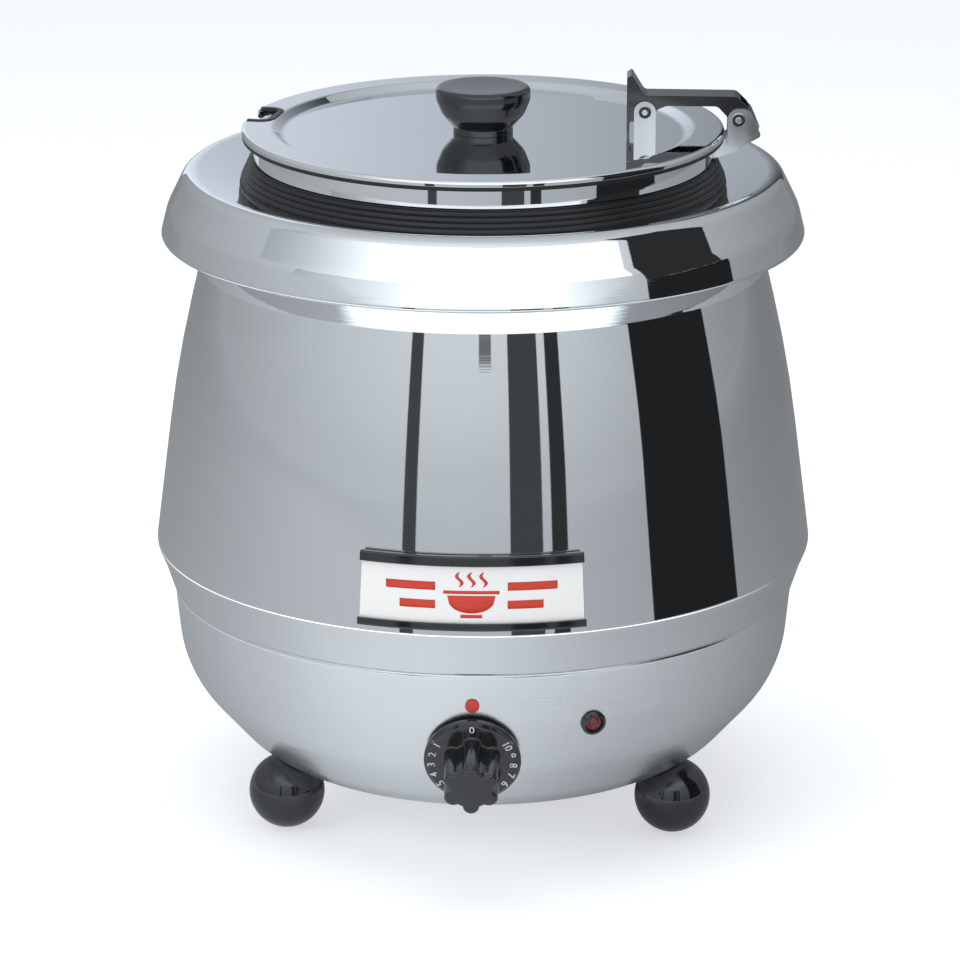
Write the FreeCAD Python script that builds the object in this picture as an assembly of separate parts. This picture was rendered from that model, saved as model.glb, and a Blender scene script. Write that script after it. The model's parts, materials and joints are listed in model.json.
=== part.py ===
"""Soup kettle: a wet-heat buffet kettle with a lift-out pot and a hinged lid.

Millimetres. Z is up from the standing plane, the kettle's axis is Z, the controls face -Y and the
lid's hinge is on the +X side.
"""
import FreeCAD, Part
import math
import os

V = FreeCAD.Vector
UP = V(0, 0, 1)
AXIS_Y = V(0, 1, 0)

# Sheet-metal gauges
WALL = 0.8
POT_WALL = 0.7

# Base pan and the feet under it
SEAM_Z = 124.0
SEAM_FLANGE = 8.0
PAN_TOP_R = 164.9
PAN_KNEE = (160.5, 78.7, 60.0)
PAN_HEEL = (124.1, 36.9, 45.0)
PAN_FLOOR_Z = 21.3
PAN_FLOOR_R = 70.0
PAN_HATCH_R = 60.0
BOTTOM_PLATE_R = 72.0
BOTTOM_PLATE_THICK = 1.2
FOOT_BALL_R = 20.0
FOOT_CIRCLE_R = 118.0
FOOT_PAD_CUT = 0.4
FOOT_ANGLES = (-30.0, 90.0, 210.0)
FOOT_STUD_R = 2.95

# Outer body: a drum that flares down to a crease and tucks in to the seam
BODY_TOP_Z = 338.6
BODY_TOP_R = 138.0
BODY_WAIST = (160.9, 243.6, 650.0)
BODY_CREASE = (173.7, 146.6, 7.0)
BODY_TUCK = (170.0, 137.6, 20.0)
BODY_FOOT_R = 165.6

# Shoulder collar over the body: a dished top, a rounded brow and a turned-in lower edge
COLLAR_GAUGE = 1.0
COLLAR_MOUTH_R = 124.6
COLLAR_MOUTH_Z = 340.4
COLLAR_BROW = (154.3, 347.7, 8.0)
COLLAR_CHEEK = (164.8, 326.5, 30.6)
COLLAR_EDGE = (168.5, 311.7, 2.0)
COLLAR_INNER_R = 145.2

# Water pot, pot seat ring and lift-out pot
WELL_R = 118.7
WELL_FLOOR_Z = 99.0
WELL_FLANGE_R = 137.0
WELL_RIM_Z = 339.4
RING_FOOT_R = 126.6
RING_CROWN_R = 121.6
RING_TOP_Z = 352.0
RING_RIBS = 5
RING_GROOVE_R = 0.75
POT_R = 114.5
POT_FLOOR_Z = 115.0
POT_RIM_R = 119.6
POT_RIM_Z = 366.4
POT_SKIRT_Z = RING_TOP_Z + 0.3

# Lid
LID_R = 125.4
LID_EDGE_Z = 364.6
LID_RIM_Z = 368.0
LID_RIM_IN_R = 109.5
LID_PANEL_R = 104.5
LID_PANEL_Z = 364.4
NOTCH_ANGLE = 170.0
NOTCH_WIDTH = 28.0
NOTCH_IN_R = 111.4
KNOB_R = 24.7
KNOB_NECK_R = 15.6
KNOB_HEIGHT = 24.3

# Lid hinge, its two pins parallel to Y
LID_PIN = (84.0, 377.5)
LID_PIN_R = 2.0
ARM_PIN = (132.4, 373.7)
ARM_PIN_R = 2.2
RUNNING_GAP = 0.06
ARM_HALF_WIDTH = 8.4
ARM_TOP_Z = 385.6
EAR_IN = 8.7
EAR_OUT = 10.2
EAR_ROUND = 5.6

# Heater stack under the water pot
TIE_ROD_R = 4.0
HEATER_PLATE_R = 85.0
HEATER_PLATE_THICK = 5.0
ELEMENT_RING_R = 62.0
ELEMENT_TUBE_R = 3.6
CLAMP_BAR = (150.0, 24.0, 3.0)

# Control dial at the front of the pan, its shaft tipped a little below level
DIAL_Z = 78.0
DIAL_TILT = 16.0
DIAL_SKIRT_R = 24.6
DIAL_BACK = 2.2
DIAL_SKIRT_TOP = 7.0
DIAL_TIP = 30.0
DIAL_GRIP_R = 15.7
DIAL_CORE_R = 12.1
DIAL_LOBES = 6
DIAL_LOBE_R = 4.3
SHAFT_R = 3.0
SWITCH_FACE = -11.0
BRACKET_GAUGE = 1.5

# Pilot lamp, index button and cord gland on the pan
LAMP_Z = 94.0
LAMP_ANGLE = -68.0
LAMP_BEZEL_R = 6.5
INDEX_Z = 107.0
INDEX_R = 3.65
GLAND_Z = 90.0
GLAND_BORE_R = 4.2

# Card holder on the body's lower cone
HOLDER_LOW_Z = 151.0
HOLDER_HEIGHT = 37.8
HOLDER_SPAN = 37.4
HOLDER_WALL = 1.2
HOLDER_DEPTH = 4.2
HOLDER_TOP_LIP = 5.2
HOLDER_LOW_LIP = 4.0
PAD_THICK = 1.2
CARD_THICK = 1.2
CARD_GAP = 0.3

# Hinge bracket clamped on the pot's rim skirt
CLAMP_LOW_Z = 353.4
CLAMP_HIGH_Z = 363.8
CLAMP_CURL = (124.3, 360.4)
CLAMP_SCREW_Z = 356.4
CLAMP_SCREW_Y = (-4.5, 4.5)
CLAMP_WEB = 1.5


def corner_arc(before, corner, after, radius):
    """Start, middle and end of the arc that rounds off a corner."""
    to_before = (before - corner).normalize()
    to_after = (after - corner).normalize()
    half_angle = to_before.getAngle(to_after) / 2
    reach = radius / math.tan(half_angle)
    bisector = (to_before + to_after).normalize()
    centre = corner + bisector * (radius / math.sin(half_angle))
    return corner + to_before * reach, centre - bisector * radius, corner + to_after * reach


def path_edges(points, closed=False):
    """Edges through (x, z, corner radius) points in the XZ plane, with the corners rounded."""
    corners = [V(x, 0, z) for x, z, _ in points]
    count = len(points)
    stops = []
    for index, (_, _, radius) in enumerate(points):
        here = corners[index]
        arc = None
        arrive = leave = here
        inner = closed or 0 < index < count - 1
        if radius and inner:
            arrive, middle, leave = corner_arc(
                corners[index - 1], here, corners[(index + 1) % count], radius)
            arc = Part.Arc(arrive, middle, leave).toShape()
        stops.append((arrive, arc, leave))
    edges = []
    for index, (arrive, arc, leave) in enumerate(stops):
        if arc:
            edges.append(arc)
        following = stops[(index + 1) % count][0]
        is_last = index == count - 1
        if (closed or not is_last) and leave.distanceToPoint(following) > 1e-6:
            edges.append(Part.makeLine(leave, following))
    return edges


def offset_points(points, distance):
    """The outline moved to the left of its direction, with its corner arcs kept concentric."""
    spots = [(x, z) for x, z, _ in points]
    ways = []
    for (x0, z0), (x1, z1) in zip(spots, spots[1:]):
        length = math.hypot(x1 - x0, z1 - z0)
        ways.append(((x1 - x0) / length, (z1 - z0) / length))
    moved = []
    for index, (x, z, radius) in enumerate(points):
        ax, az = ways[max(index - 1, 0)]
        bx, bz = ways[min(index, len(ways) - 1)]
        scale = distance / (1 + ax * bx + az * bz)
        turns_left = ax * bz - az * bx > 0
        new_radius = 0
        if radius:
            new_radius = radius - distance if turns_left else radius + distance
        moved.append((x - (az + bz) * scale, z + (ax + bx) * scale, new_radius))
    return moved


def face_of(edges):
    return Part.Face(Part.Wire(Part.__sortEdges__(edges)))


def turn(face, degrees=360.0):
    return face.revolve(V(0, 0, 0), UP, degrees)


def turned(points):
    """Solid turned about Z from a closed outline."""
    return turn(face_of(path_edges(points, closed=True)))


def sheet(points, thickness):
    """Turned sheet-metal shell. A positive thickness lies to the left of the outline."""
    far = offset_points(points, thickness)
    ends = []
    for index in (0, -1):
        near_x, near_z, _ = points[index]
        far_x, far_z, _ = far[index]
        ends.append(Part.makeLine(V(near_x, 0, near_z), V(far_x, 0, far_z)))
    return turn(face_of(path_edges(points) + path_edges(far) + ends))


def rod(x, y, low, high, radius):
    return Part.makeCylinder(radius, high - low, V(x, y, low))


def tube(low, high, outer, inner):
    return rod(0, 0, low, high, outer).cut(rod(0, 0, low, high, inner))


def cross_rod(spot, half_length, radius):
    """Rod parallel to Y through an (x, z) spot."""
    return Part.makeCylinder(radius, 2 * half_length, V(spot[0], -half_length, spot[1]), AXIS_Y)


def cross_plate(points, low, high):
    """Plate with a rounded outline in XZ and its thickness along Y."""
    plate = face_of(path_edges(points, closed=True)).extrude(V(0, high - low, 0))
    plate.translate(V(0, low, 0))
    return plate


def hex_prism(low, high, across_flats):
    corner_r = across_flats / math.sqrt(3)
    corners = []
    for step in range(7):
        angle = math.radians(60 * step)
        corners.append(V(corner_r * math.cos(angle), corner_r * math.sin(angle), low))
    return Part.Face(Part.makePolygon(corners)).extrude(V(0, 0, high - low))


def spun(shape, degrees):
    """Copy turned about the kettle's axis."""
    copy = shape.copy()
    copy.rotate(V(0, 0, 0), UP, degrees)
    return copy


def on_pan(shape, z, angle, tilt=None):
    """Move a shape built along +Z on to the pan's outside, facing out at an angle about Z."""
    radius, slope = pan_seat(z)
    lean = slope if tilt is None else tilt
    spread = math.radians(angle)
    outward = FreeCAD.Rotation(UP, angle + 90) * FreeCAD.Rotation(V(1, 0, 0), 90 + lean)
    place = V(radius * math.cos(spread), radius * math.sin(spread), z)
    copy = shape.copy()
    copy.Placement = FreeCAD.Placement(place, outward) * copy.Placement
    return copy


def on_dial(shape):
    return on_pan(shape, DIAL_Z, -90, DIAL_TILT)


def on_lamp(shape):
    return on_pan(shape, LAMP_Z, LAMP_ANGLE)


def on_index(shape):
    return on_pan(shape, INDEX_Z, -90)


def on_gland(shape):
    return on_pan(shape, GLAND_Z, 90)


def pan_outline():
    return [
        (PAN_TOP_R - SEAM_FLANGE, SEAM_Z, 0),
        (PAN_TOP_R, SEAM_Z, 2),
        PAN_KNEE,
        PAN_HEEL,
        (PAN_FLOOR_R, PAN_FLOOR_Z, 12),
        (PAN_HATCH_R, PAN_FLOOR_Z, 0),
    ]


def pan_seat(z):
    """Radius of the pan's outside at a height, and how far it faces down there."""
    wire = Part.Wire(path_edges(pan_outline()))
    radii = []
    for level in (z - 1, z, z + 1):
        cut = wire.section(Part.makeLine(V(PAN_FLOOR_R, 0, level), V(2 * PAN_TOP_R, 0, level)))
        radii.append(cut.Vertexes[0].X)
    return radii[1], math.degrees(math.atan2(radii[2] - radii[0], 2))


def pan_bulk(outline):
    """Everything inside an outline of the pan, as a solid."""
    top = outline[0][1]
    return turned([(0, top, 0)] + outline + [(0, PAN_FLOOR_Z, 0)])


def foot_centre(angle):
    spread = math.radians(angle)
    return V(FOOT_CIRCLE_R * math.cos(spread), FOOT_CIRCLE_R * math.sin(spread), FOOT_BALL_R - FOOT_PAD_CUT)


def base_pan():
    pan = sheet(pan_outline(), -WALL)
    for angle in FOOT_ANGLES:
        spot = foot_centre(angle)
        pan = pan.cut(rod(spot.x, spot.y, PAN_FLOOR_Z, 60, FOOT_STUD_R + 0.25))
    pan = pan.cut(on_dial(rod(0, 0, -8, 8, 5.2)))
    pan = pan.cut(on_lamp(rod(0, 0, -8, 8, 5.1)))
    pan = pan.cut(on_index(rod(0, 0, -6, 6, 1.6)))
    return pan.cut(on_gland(rod(0, 0, -8, 8, 8.1)))


def bottom_plate():
    plate = tube(PAN_FLOOR_Z - BOTTOM_PLATE_THICK, PAN_FLOOR_Z, BOTTOM_PLATE_R, TIE_ROD_R + 0.3)
    slot = Part.makeBox(16, 3, 4, V(32, -1.5, PAN_FLOOR_Z - 3))
    for step in range(12):
        plate = plate.cut(spun(slot, 30 * step))
    return plate


def ball_foot(angle):
    spot = foot_centre(angle)
    ball = Part.makeSphere(FOOT_BALL_R, spot)
    ball = ball.cut(pan_bulk(pan_outline()))
    ball = ball.cut(Part.makeBox(60, 60, 10, V(spot.x - 30, spot.y - 30, -10)))
    return ball.cut(rod(spot.x, spot.y, 18, 60, FOOT_STUD_R + 0.05))


def foot_studs():
    inside = pan_bulk(offset_points(pan_outline(), -WALL))
    studs = []
    for angle in FOOT_ANGLES:
        spot = foot_centre(angle)
        head = rod(spot.x, spot.y, 25, 41, 6.5).common(inside)
        studs.append(rod(spot.x, spot.y, 20, 38, FOOT_STUD_R).fuse(head).removeSplitter())
    return Part.makeCompound(studs)


def outer_body():
    outline = [
        (BODY_TOP_R - 8, BODY_TOP_Z, 0),
        (BODY_TOP_R, BODY_TOP_Z, 4),
        BODY_WAIST,
        BODY_CREASE,
        BODY_TUCK,
        (BODY_FOOT_R, SEAM_Z, 1.5),
        (BODY_FOOT_R - SEAM_FLANGE, SEAM_Z, 0),
    ]
    return sheet(outline, -WALL)


def shoulder_collar():
    outline = [
        (COLLAR_MOUTH_R, COLLAR_MOUTH_Z, 0),
        COLLAR_BROW,
        COLLAR_CHEEK,
        COLLAR_EDGE,
        (COLLAR_INNER_R, COLLAR_EDGE[1], 0),
    ]
    return sheet(outline, -COLLAR_GAUGE)


def pot_seat_ring():
    lip_z = COLLAR_MOUTH_Z + 0.7
    ring = turned([
        (WELL_R, WELL_RIM_Z, 0),
        (COLLAR_MOUTH_R - 0.2, WELL_RIM_Z, 0),
        (COLLAR_MOUTH_R - 0.2, lip_z, 0),
        (RING_FOOT_R, lip_z, 0.4),
        (RING_CROWN_R, RING_TOP_Z, 1.0),
        (WELL_R, RING_TOP_Z, 0.6),
    ])
    for step in range(RING_RIBS):
        share = (step + 1) / (RING_RIBS + 1)
        radius = RING_FOOT_R + (RING_CROWN_R - RING_FOOT_R) * share
        z = lip_z + (RING_TOP_Z - lip_z) * share
        ring = ring.cut(Part.makeTorus(radius + 0.2, RING_GROOVE_R, V(0, 0, z), UP))
    return ring


def water_pot():
    outline = [
        (WELL_FLANGE_R, WELL_RIM_Z, 0),
        (WELL_R, WELL_RIM_Z, 2),
        (WELL_R, WELL_FLOOR_Z, 12),
        (0, WELL_FLOOR_Z, 0),
    ]
    return sheet(outline, WALL)


def heater_plate():
    top = WELL_FLOOR_Z - WALL
    return tube(top - HEATER_PLATE_THICK, top, HEATER_PLATE_R, TIE_ROD_R + 0.3)


def element_z():
    return WELL_FLOOR_Z - WALL - HEATER_PLATE_THICK - ELEMENT_TUBE_R


def heating_element():
    """Tubular ring, open at the back, with its two cold ends bent down."""
    section = Part.Face(Part.Wire(Part.makeCircle(
        ELEMENT_TUBE_R, V(ELEMENT_RING_R, 0, element_z()), AXIS_Y)))
    ring = spun(turn(section, 320), 110)
    for angle in (70, 110):
        spread = math.radians(angle)
        x = ELEMENT_RING_R * math.cos(spread)
        y = ELEMENT_RING_R * math.sin(spread)
        ring = ring.fuse(rod(x, y, element_z() - 18, element_z(), ELEMENT_TUBE_R))
        ring = ring.fuse(Part.makeSphere(ELEMENT_TUBE_R, V(x, y, element_z())))
    return ring.removeSplitter()


def clamp_bar_top():
    return element_z() - ELEMENT_TUBE_R


def heater_clamp():
    length, width, thick = CLAMP_BAR
    bar = Part.makeBox(length, width, thick, V(-length / 2, -width / 2, clamp_bar_top() - thick))
    return bar.cut(rod(0, 0, 50, 100, TIE_ROD_R + 0.3))


def heater_nut():
    top = clamp_bar_top() - CLAMP_BAR[2]
    return hex_prism(top - 6.5, top, 13).cut(rod(0, 0, 50, 100, TIE_ROD_R))


def tie_rod():
    return rod(0, 0, 10.8, WELL_FLOOR_Z - WALL, TIE_ROD_R)


def tie_washer():
    top = PAN_FLOOR_Z - BOTTOM_PLATE_THICK
    return tube(top - 1.6, top, 12, TIE_ROD_R + 0.2)


def tie_nut():
    top = PAN_FLOOR_Z - BOTTOM_PLATE_THICK - 1.6
    return hex_prism(top - 6.5, top, 13).cut(rod(0, 0, 0, 40, TIE_ROD_R))


def thermal_cutout():
    top = WELL_FLOOR_Z - WALL
    cap = rod(0, 96, top - 4, top, 8.5)
    return cap.fuse(rod(0, 96, top - 12, top - 4, 7.5)).removeSplitter()


def thermostat():
    """Switch block whose threaded bush is held in the bracket behind the pan's front."""
    block = Part.makeBox(36, 30, 22, V(-18, -15, SWITCH_FACE - 22))
    block = block.fuse(rod(0, 0, SWITCH_FACE, SWITCH_FACE + 6, 5)).removeSplitter()
    return on_dial(block.cut(rod(0, 0, SWITCH_FACE - 16, 0, SHAFT_R + RUNNING_GAP)))


def thermostat_bracket():
    """Plate across the switch's face, with two side legs that meet the pan's inside."""
    plate = Part.makeBox(46, 30, BRACKET_GAUGE, V(-23, -15, SWITCH_FACE))
    for x in (-23, 23 - BRACKET_GAUGE):
        plate = plate.fuse(Part.makeBox(BRACKET_GAUGE, 30, 24, V(x, -15, SWITCH_FACE)))
    inside = pan_bulk(offset_points(pan_outline(), -WALL))
    return on_dial(plate.cut(rod(0, 0, -20, 0, 5))).common(inside).removeSplitter()


def thermostat_nut():
    low = SWITCH_FACE + BRACKET_GAUGE
    return on_dial(hex_prism(low, low + 2.6, 14).cut(rod(0, 0, low - 1, low + 4, 5)))


def thermostat_shaft():
    return on_dial(rod(0, 0, -25, DIAL_TIP - 9, SHAFT_R))


def thermostat_probe():
    """Sensing bulb against the water pot, with its capillary down to the switch block."""
    bulb_y = -(WELL_R + WALL + 3)
    bulb = rod(0, bulb_y, 140, 205, 3)
    start = on_dial(Part.Vertex(V(0, 15, -22))).Point
    route = [
        (start.y, start.z, 0),
        (start.y, start.z + 22, 8),
        (bulb_y, 132, 8),
        (bulb_y, 141, 0),
    ]
    wire = Part.Wire(path_edges(route))
    wire.rotate(V(0, 0, 0), UP, 90)
    tangent = V(0, 0, 1)
    section = Part.Wire(Part.makeCircle(1.0, V(0, start.y, start.z), tangent))
    capillary = wire.makePipeShell([section], True, False)
    return bulb.fuse(capillary).removeSplitter()


def dial_blank():
    """Turned blank of the dial: a bevelled skirt and a domed hub."""
    return turned([
        (0, DIAL_BACK, 0),
        (DIAL_SKIRT_R, DIAL_BACK, 0.8),
        (DIAL_SKIRT_R, DIAL_BACK + 2.6, 1.2),
        (DIAL_SKIRT_R - 2.2, DIAL_SKIRT_TOP - 0.6, 2.0),
        (DIAL_GRIP_R + 0.6, DIAL_SKIRT_TOP, 0),
        (DIAL_GRIP_R + 0.1, DIAL_TIP, 2.2),
        (0, DIAL_TIP + 0.6, 0),
    ])


def control_dial():
    """Skirted dial whose grip has six rounded flutes."""
    core = rod(0, 0, DIAL_BACK, DIAL_TIP + 1, DIAL_CORE_R)
    lobe = rod(DIAL_GRIP_R - DIAL_LOBE_R, 0, DIAL_BACK, DIAL_TIP + 1, DIAL_LOBE_R)
    for step in range(DIAL_LOBES):
        core = core.fuse(spun(lobe, 90 + 360 / DIAL_LOBES * step))
    skirt = rod(0, 0, 0, DIAL_SKIRT_TOP + 0.4, DIAL_SKIRT_R + 1)
    dial = dial_blank().common(core.fuse(skirt)).removeSplitter()
    return on_dial(dial.cut(rod(0, 0, 0, DIAL_TIP - 9, SHAFT_R)))


def index_button():
    button = turned([
        (0, -6, 0),
        (1.5, -6, 0),
        (1.5, 0.05, 0),
        (INDEX_R, 0.05, 0),
        (INDEX_R, 0.8, 0.4),
        (0, 1.1, 0),
    ])
    return on_index(button)


def pilot_bezel():
    return on_lamp(turned([
        (4.4, -14, 0),
        (5.0, -14, 0),
        (5.0, 0.3, 0),
        (LAMP_BEZEL_R, 0.3, 0),
        (LAMP_BEZEL_R, 1.5, 0.9),
        (4.9, 2.6, 0.6),
        (4.4, 1.6, 0),
    ]))


def pilot_lens():
    return on_lamp(turned([(0, -6, 0), (4.4, -6, 0), (4.4, 0.6, 0.8), (0, 1.9, 0)]))


def pilot_lamp_body():
    return on_lamp(turned([(0, -24, 0), (4.4, -24, 1), (4.4, -6, 0), (0, -6, 0)]))


def pilot_clip():
    return on_lamp(tube(-3.4, -1.3, 7.4, 5.0))


def cord_gland():
    """Bush for the supply lead: a collar outside the pan, a nut inside, one bore right through."""
    gland = turned([
        (GLAND_BORE_R, -12, 0),
        (8.0, -12, 0),
        (8.0, 0.4, 0),
        (11.5, 0.4, 0),
        (11.5, 3.2, 1.0),
        (8.2, 4.4, 1.0),
        (6.8, 12.0, 1.2),
        (GLAND_BORE_R, 12.0, 0.8),
    ])
    return on_gland(gland)


def gland_nut():
    return on_gland(hex_prism(-7, -2.2, 21).cut(rod(0, 0, -9, 0, 8.0)))


def terminal_block():
    block = Part.makeBox(40, 18, 14, V(-42, -38, PAN_FLOOR_Z))
    for step in range(3):
        block = block.cut(rod(-35 + 13 * step, -29, PAN_FLOOR_Z + 6, PAN_FLOOR_Z + 20, 3))
    return block


def holder_point(along, out):
    """(r, z) of a spot on the body's lower cone: so far up the slope, so far off its surface."""
    (top_r, top_z, _), (low_r, low_z, _) = BODY_WAIST, BODY_CREASE
    slope = math.hypot(top_r - low_r, top_z - low_z)
    run_r = (top_r - low_r) / slope
    run_z = (top_z - low_z) / slope
    start_r = low_r + (HOLDER_LOW_Z - low_z) * run_r / run_z
    return start_r + along * run_r + out * run_z, HOLDER_LOW_Z + along * run_z - out * run_r


def cone_strip(outline, span):
    """Strip bent round the body's lower cone, centred on the front, from an (along, out) outline."""
    points = [holder_point(along, out) + (0,) for along, out in outline]
    strip = turn(face_of(path_edges(points, closed=True)), span)
    return spun(strip, -90 - span / 2)


def card_holder():
    """C-shaped rail pair on one back plate."""
    top = HOLDER_HEIGHT
    back = PAD_THICK
    front = PAD_THICK + HOLDER_DEPTH
    lip = front - HOLDER_WALL
    face = back + HOLDER_WALL
    return cone_strip([
        (0, back), (top, back), (top, front), (top - HOLDER_TOP_LIP, front), (top - HOLDER_TOP_LIP, lip),
        (top - HOLDER_WALL, lip), (top - HOLDER_WALL, face), (HOLDER_WALL, face), (HOLDER_WALL, lip),
        (HOLDER_LOW_LIP, lip), (HOLDER_LOW_LIP, front), (0, front),
    ], HOLDER_SPAN)


def holder_pads():
    low = cone_strip([(4, 0), (11, 0), (11, PAD_THICK), (4, PAD_THICK)], HOLDER_SPAN - 6)
    high = cone_strip([(27, 0), (34, 0), (34, PAD_THICK), (27, PAD_THICK)], HOLDER_SPAN - 6)
    return Part.makeCompound([low, high])


def menu_card():
    low = HOLDER_WALL + CARD_GAP
    high = HOLDER_HEIGHT - HOLDER_WALL - CARD_GAP
    back = PAD_THICK + HOLDER_WALL + CARD_GAP
    front = back + CARD_THICK
    return cone_strip([(low, back), (high, back), (high, front), (low, front)], HOLDER_SPAN - 0.4)


def insert_pot():
    outline = [
        (POT_RIM_R, POT_SKIRT_Z, 0),
        (POT_RIM_R, POT_RIM_Z, 2.0),
        (POT_R, POT_RIM_Z, 2.0),
        (POT_R, POT_FLOOR_Z, 14),
        (0, POT_FLOOR_Z, 0),
    ]
    return sheet(outline, POT_WALL).cut(clamp_screw_holes())


def lid():
    outline = [
        (0, LID_PANEL_Z, 0),
        (LID_PANEL_R, LID_PANEL_Z, 4),
        (LID_RIM_IN_R, LID_RIM_Z, 3.5),
        (LID_R, LID_RIM_Z, 2.2),
        (LID_R, LID_EDGE_Z, 0),
    ]
    notch = Part.makeBox(40, NOTCH_WIDTH, 20, V(NOTCH_IN_R, -NOTCH_WIDTH / 2, 355))
    notch = notch.makeFillet(6, [edge for edge in notch.Edges if is_notch_corner(edge)])
    disc = sheet(outline, -WALL).cut(spun(notch, NOTCH_ANGLE))
    disc = disc.cut(rod(0, 0, 350, 380, 2.2))
    for y in (-4.5, 4.5):
        disc = disc.cut(rod(LID_PIN[0], y, 350, 380, 1.6))
    return disc


def is_notch_corner(edge):
    """True for the upright edges at the notch's inner end."""
    first, last = (vertex.Point for vertex in edge.Vertexes)
    return abs(first.x - NOTCH_IN_R) < 1e-6 and abs(first.z - last.z) > 1


def lid_knob():
    base = LID_PANEL_Z
    knob = turned([
        (0, base, 0),
        (KNOB_NECK_R, base, 0),
        (KNOB_NECK_R, base + 3.2, 1.4),
        (KNOB_R - 3.0, base + 10.0, 12),
        (KNOB_R, base + 17.5, 10),
        (KNOB_R, base + KNOB_HEIGHT, 2.6),
        (KNOB_R - 5, base + KNOB_HEIGHT, 4),
        (0, base + KNOB_HEIGHT - 0.8, 0),
    ])
    return knob.cut(rod(0, 0, base - 1, base + 14, 2.0))


def knob_washer():
    top = LID_PANEL_Z - WALL
    return tube(top - 1.0, top, 8, 2.2)


def knob_screw():
    top = LID_PANEL_Z - WALL - 1.0
    head = turned([(0, top - 2.4, 0), (3.9, top - 2.4, 1.0), (3.9, top, 0), (0, top, 0)])
    return head.fuse(rod(0, 0, top - 0.5, LID_PANEL_Z + 13, 2.0)).removeSplitter()


def lid_bracket():
    """Folded clevis on the lid: two round-topped ears on one foot plate."""
    x, z = LID_PIN
    low = LID_PANEL_Z
    ear = [
        (x - EAR_ROUND, low, 0),
        (x - EAR_ROUND, z + EAR_ROUND, EAR_ROUND - 0.01),
        (x + EAR_ROUND, z + EAR_ROUND, EAR_ROUND - 0.01),
        (x + EAR_ROUND, low, 0),
    ]
    foot = Part.makeBox(2 * EAR_ROUND, 2 * EAR_OUT, EAR_OUT - EAR_IN, V(x - EAR_ROUND, -EAR_OUT, low))
    bracket = foot.fuse(cross_plate(ear, EAR_IN, EAR_OUT)).fuse(cross_plate(ear, -EAR_OUT, -EAR_IN))
    bracket = bracket.removeSplitter().cut(cross_rod(LID_PIN, 20, LID_PIN_R))
    for y in (-4.5, 4.5):
        bracket = bracket.cut(rod(x, y, low - 1, low + 4, 1.5))
    return bracket


def bracket_rivets():
    top = LID_PANEL_Z + EAR_OUT - EAR_IN
    low = LID_PANEL_Z - WALL
    rivets = []
    for y in (-4.5, 4.5):
        shank = rod(LID_PIN[0], y, low - 1.0, top + 1.0, 1.5)
        heads = rod(LID_PIN[0], y, top, top + 1.2, 2.8).fuse(rod(LID_PIN[0], y, low - 1.2, low, 2.8))
        rivets.append(shank.fuse(heads).removeSplitter())
    return Part.makeCompound(rivets)


def headed_pin(spot, radius, head_r):
    """Hinge pin across both ears, with a flat rivet head at each end."""
    pin = cross_rod(spot, EAR_OUT + 0.2, radius)
    for side in (-1, 1):
        head = Part.makeCylinder(head_r, 1.4, V(spot[0], side * EAR_OUT, spot[1]), V(0, side, 0))
        pin = pin.fuse(head)
    return pin.removeSplitter()


def lid_pin():
    return headed_pin(LID_PIN, LID_PIN_R, 3.3)


def arm_pin():
    return headed_pin(ARM_PIN, ARM_PIN_R, 3.6)


def hinge_arm():
    """Moulded channel arm with a thumb tab and a stop tail at the lid end."""
    lid_x, lid_z = LID_PIN
    pin_x, pin_z = ARM_PIN
    tail_x = lid_x - 9.4
    tail_in_x = tail_x + 1.5
    stop_z = LID_PANEL_Z + 1.9
    web_low = ARM_TOP_Z - 5.2
    outline = [
        (tail_x, stop_z, 0.5),
        (tail_x, ARM_TOP_Z + 9.4, 1.0),
        (tail_x + 2.6, ARM_TOP_Z + 11.0, 1.0),
        (lid_x - 0.2, ARM_TOP_Z + 0.3, 3.0),
        (pin_x - 1.0, ARM_TOP_Z, 5.0),
        (pin_x + 5.4, pin_z + 5.5, 4.0),
        (pin_x + 5.4, pin_z - 5.3, 5.0),
        (pin_x - 5.3, pin_z - 5.3, 4.6),
        (pin_x - 5.3, pin_z + 0.6, 3.0),
        (pin_x - 11.0, web_low, 4.0),
        (lid_x + 11.0, web_low, 4.0),
        (lid_x + 5.4, lid_z + 0.6, 3.0),
        (lid_x + 5.4, lid_z - 5.4, 4.8),
        (tail_in_x, lid_z - 5.4, 1.0),
        (tail_in_x, stop_z, 0.5),
    ]
    arm = cross_plate(outline, -ARM_HALF_WIDTH, ARM_HALF_WIDTH)
    hollow_low = stop_z - 1
    hollow = Part.makeBox(70, 2 * (ARM_HALF_WIDTH - 1.8), ARM_TOP_Z - 2.0 - hollow_low,
                          V(lid_x - 4.0, -(ARM_HALF_WIDTH - 1.8), hollow_low))
    arm = arm.cut(hollow)
    arm = arm.cut(cross_rod(LID_PIN, 20, LID_PIN_R + RUNNING_GAP))
    return arm.cut(cross_rod(ARM_PIN, 20, ARM_PIN_R + RUNNING_GAP))


def skirt_band(inner, outer, half_width, low, high):
    """Piece of a ring around the pot's rim skirt, centred on the hinge side."""
    return tube(low, high, outer, inner).common(
        Part.makeBox(40, 2 * half_width, high - low, V(100, -half_width, low)))


def clamp_screw_holes():
    holes = []
    for y in CLAMP_SCREW_Y:
        holes.append(Part.makeCylinder(1.6, 10, V(115.6, y, CLAMP_SCREW_Z), V(1, 0, 0)))
    return Part.makeCompound(holes)


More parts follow.
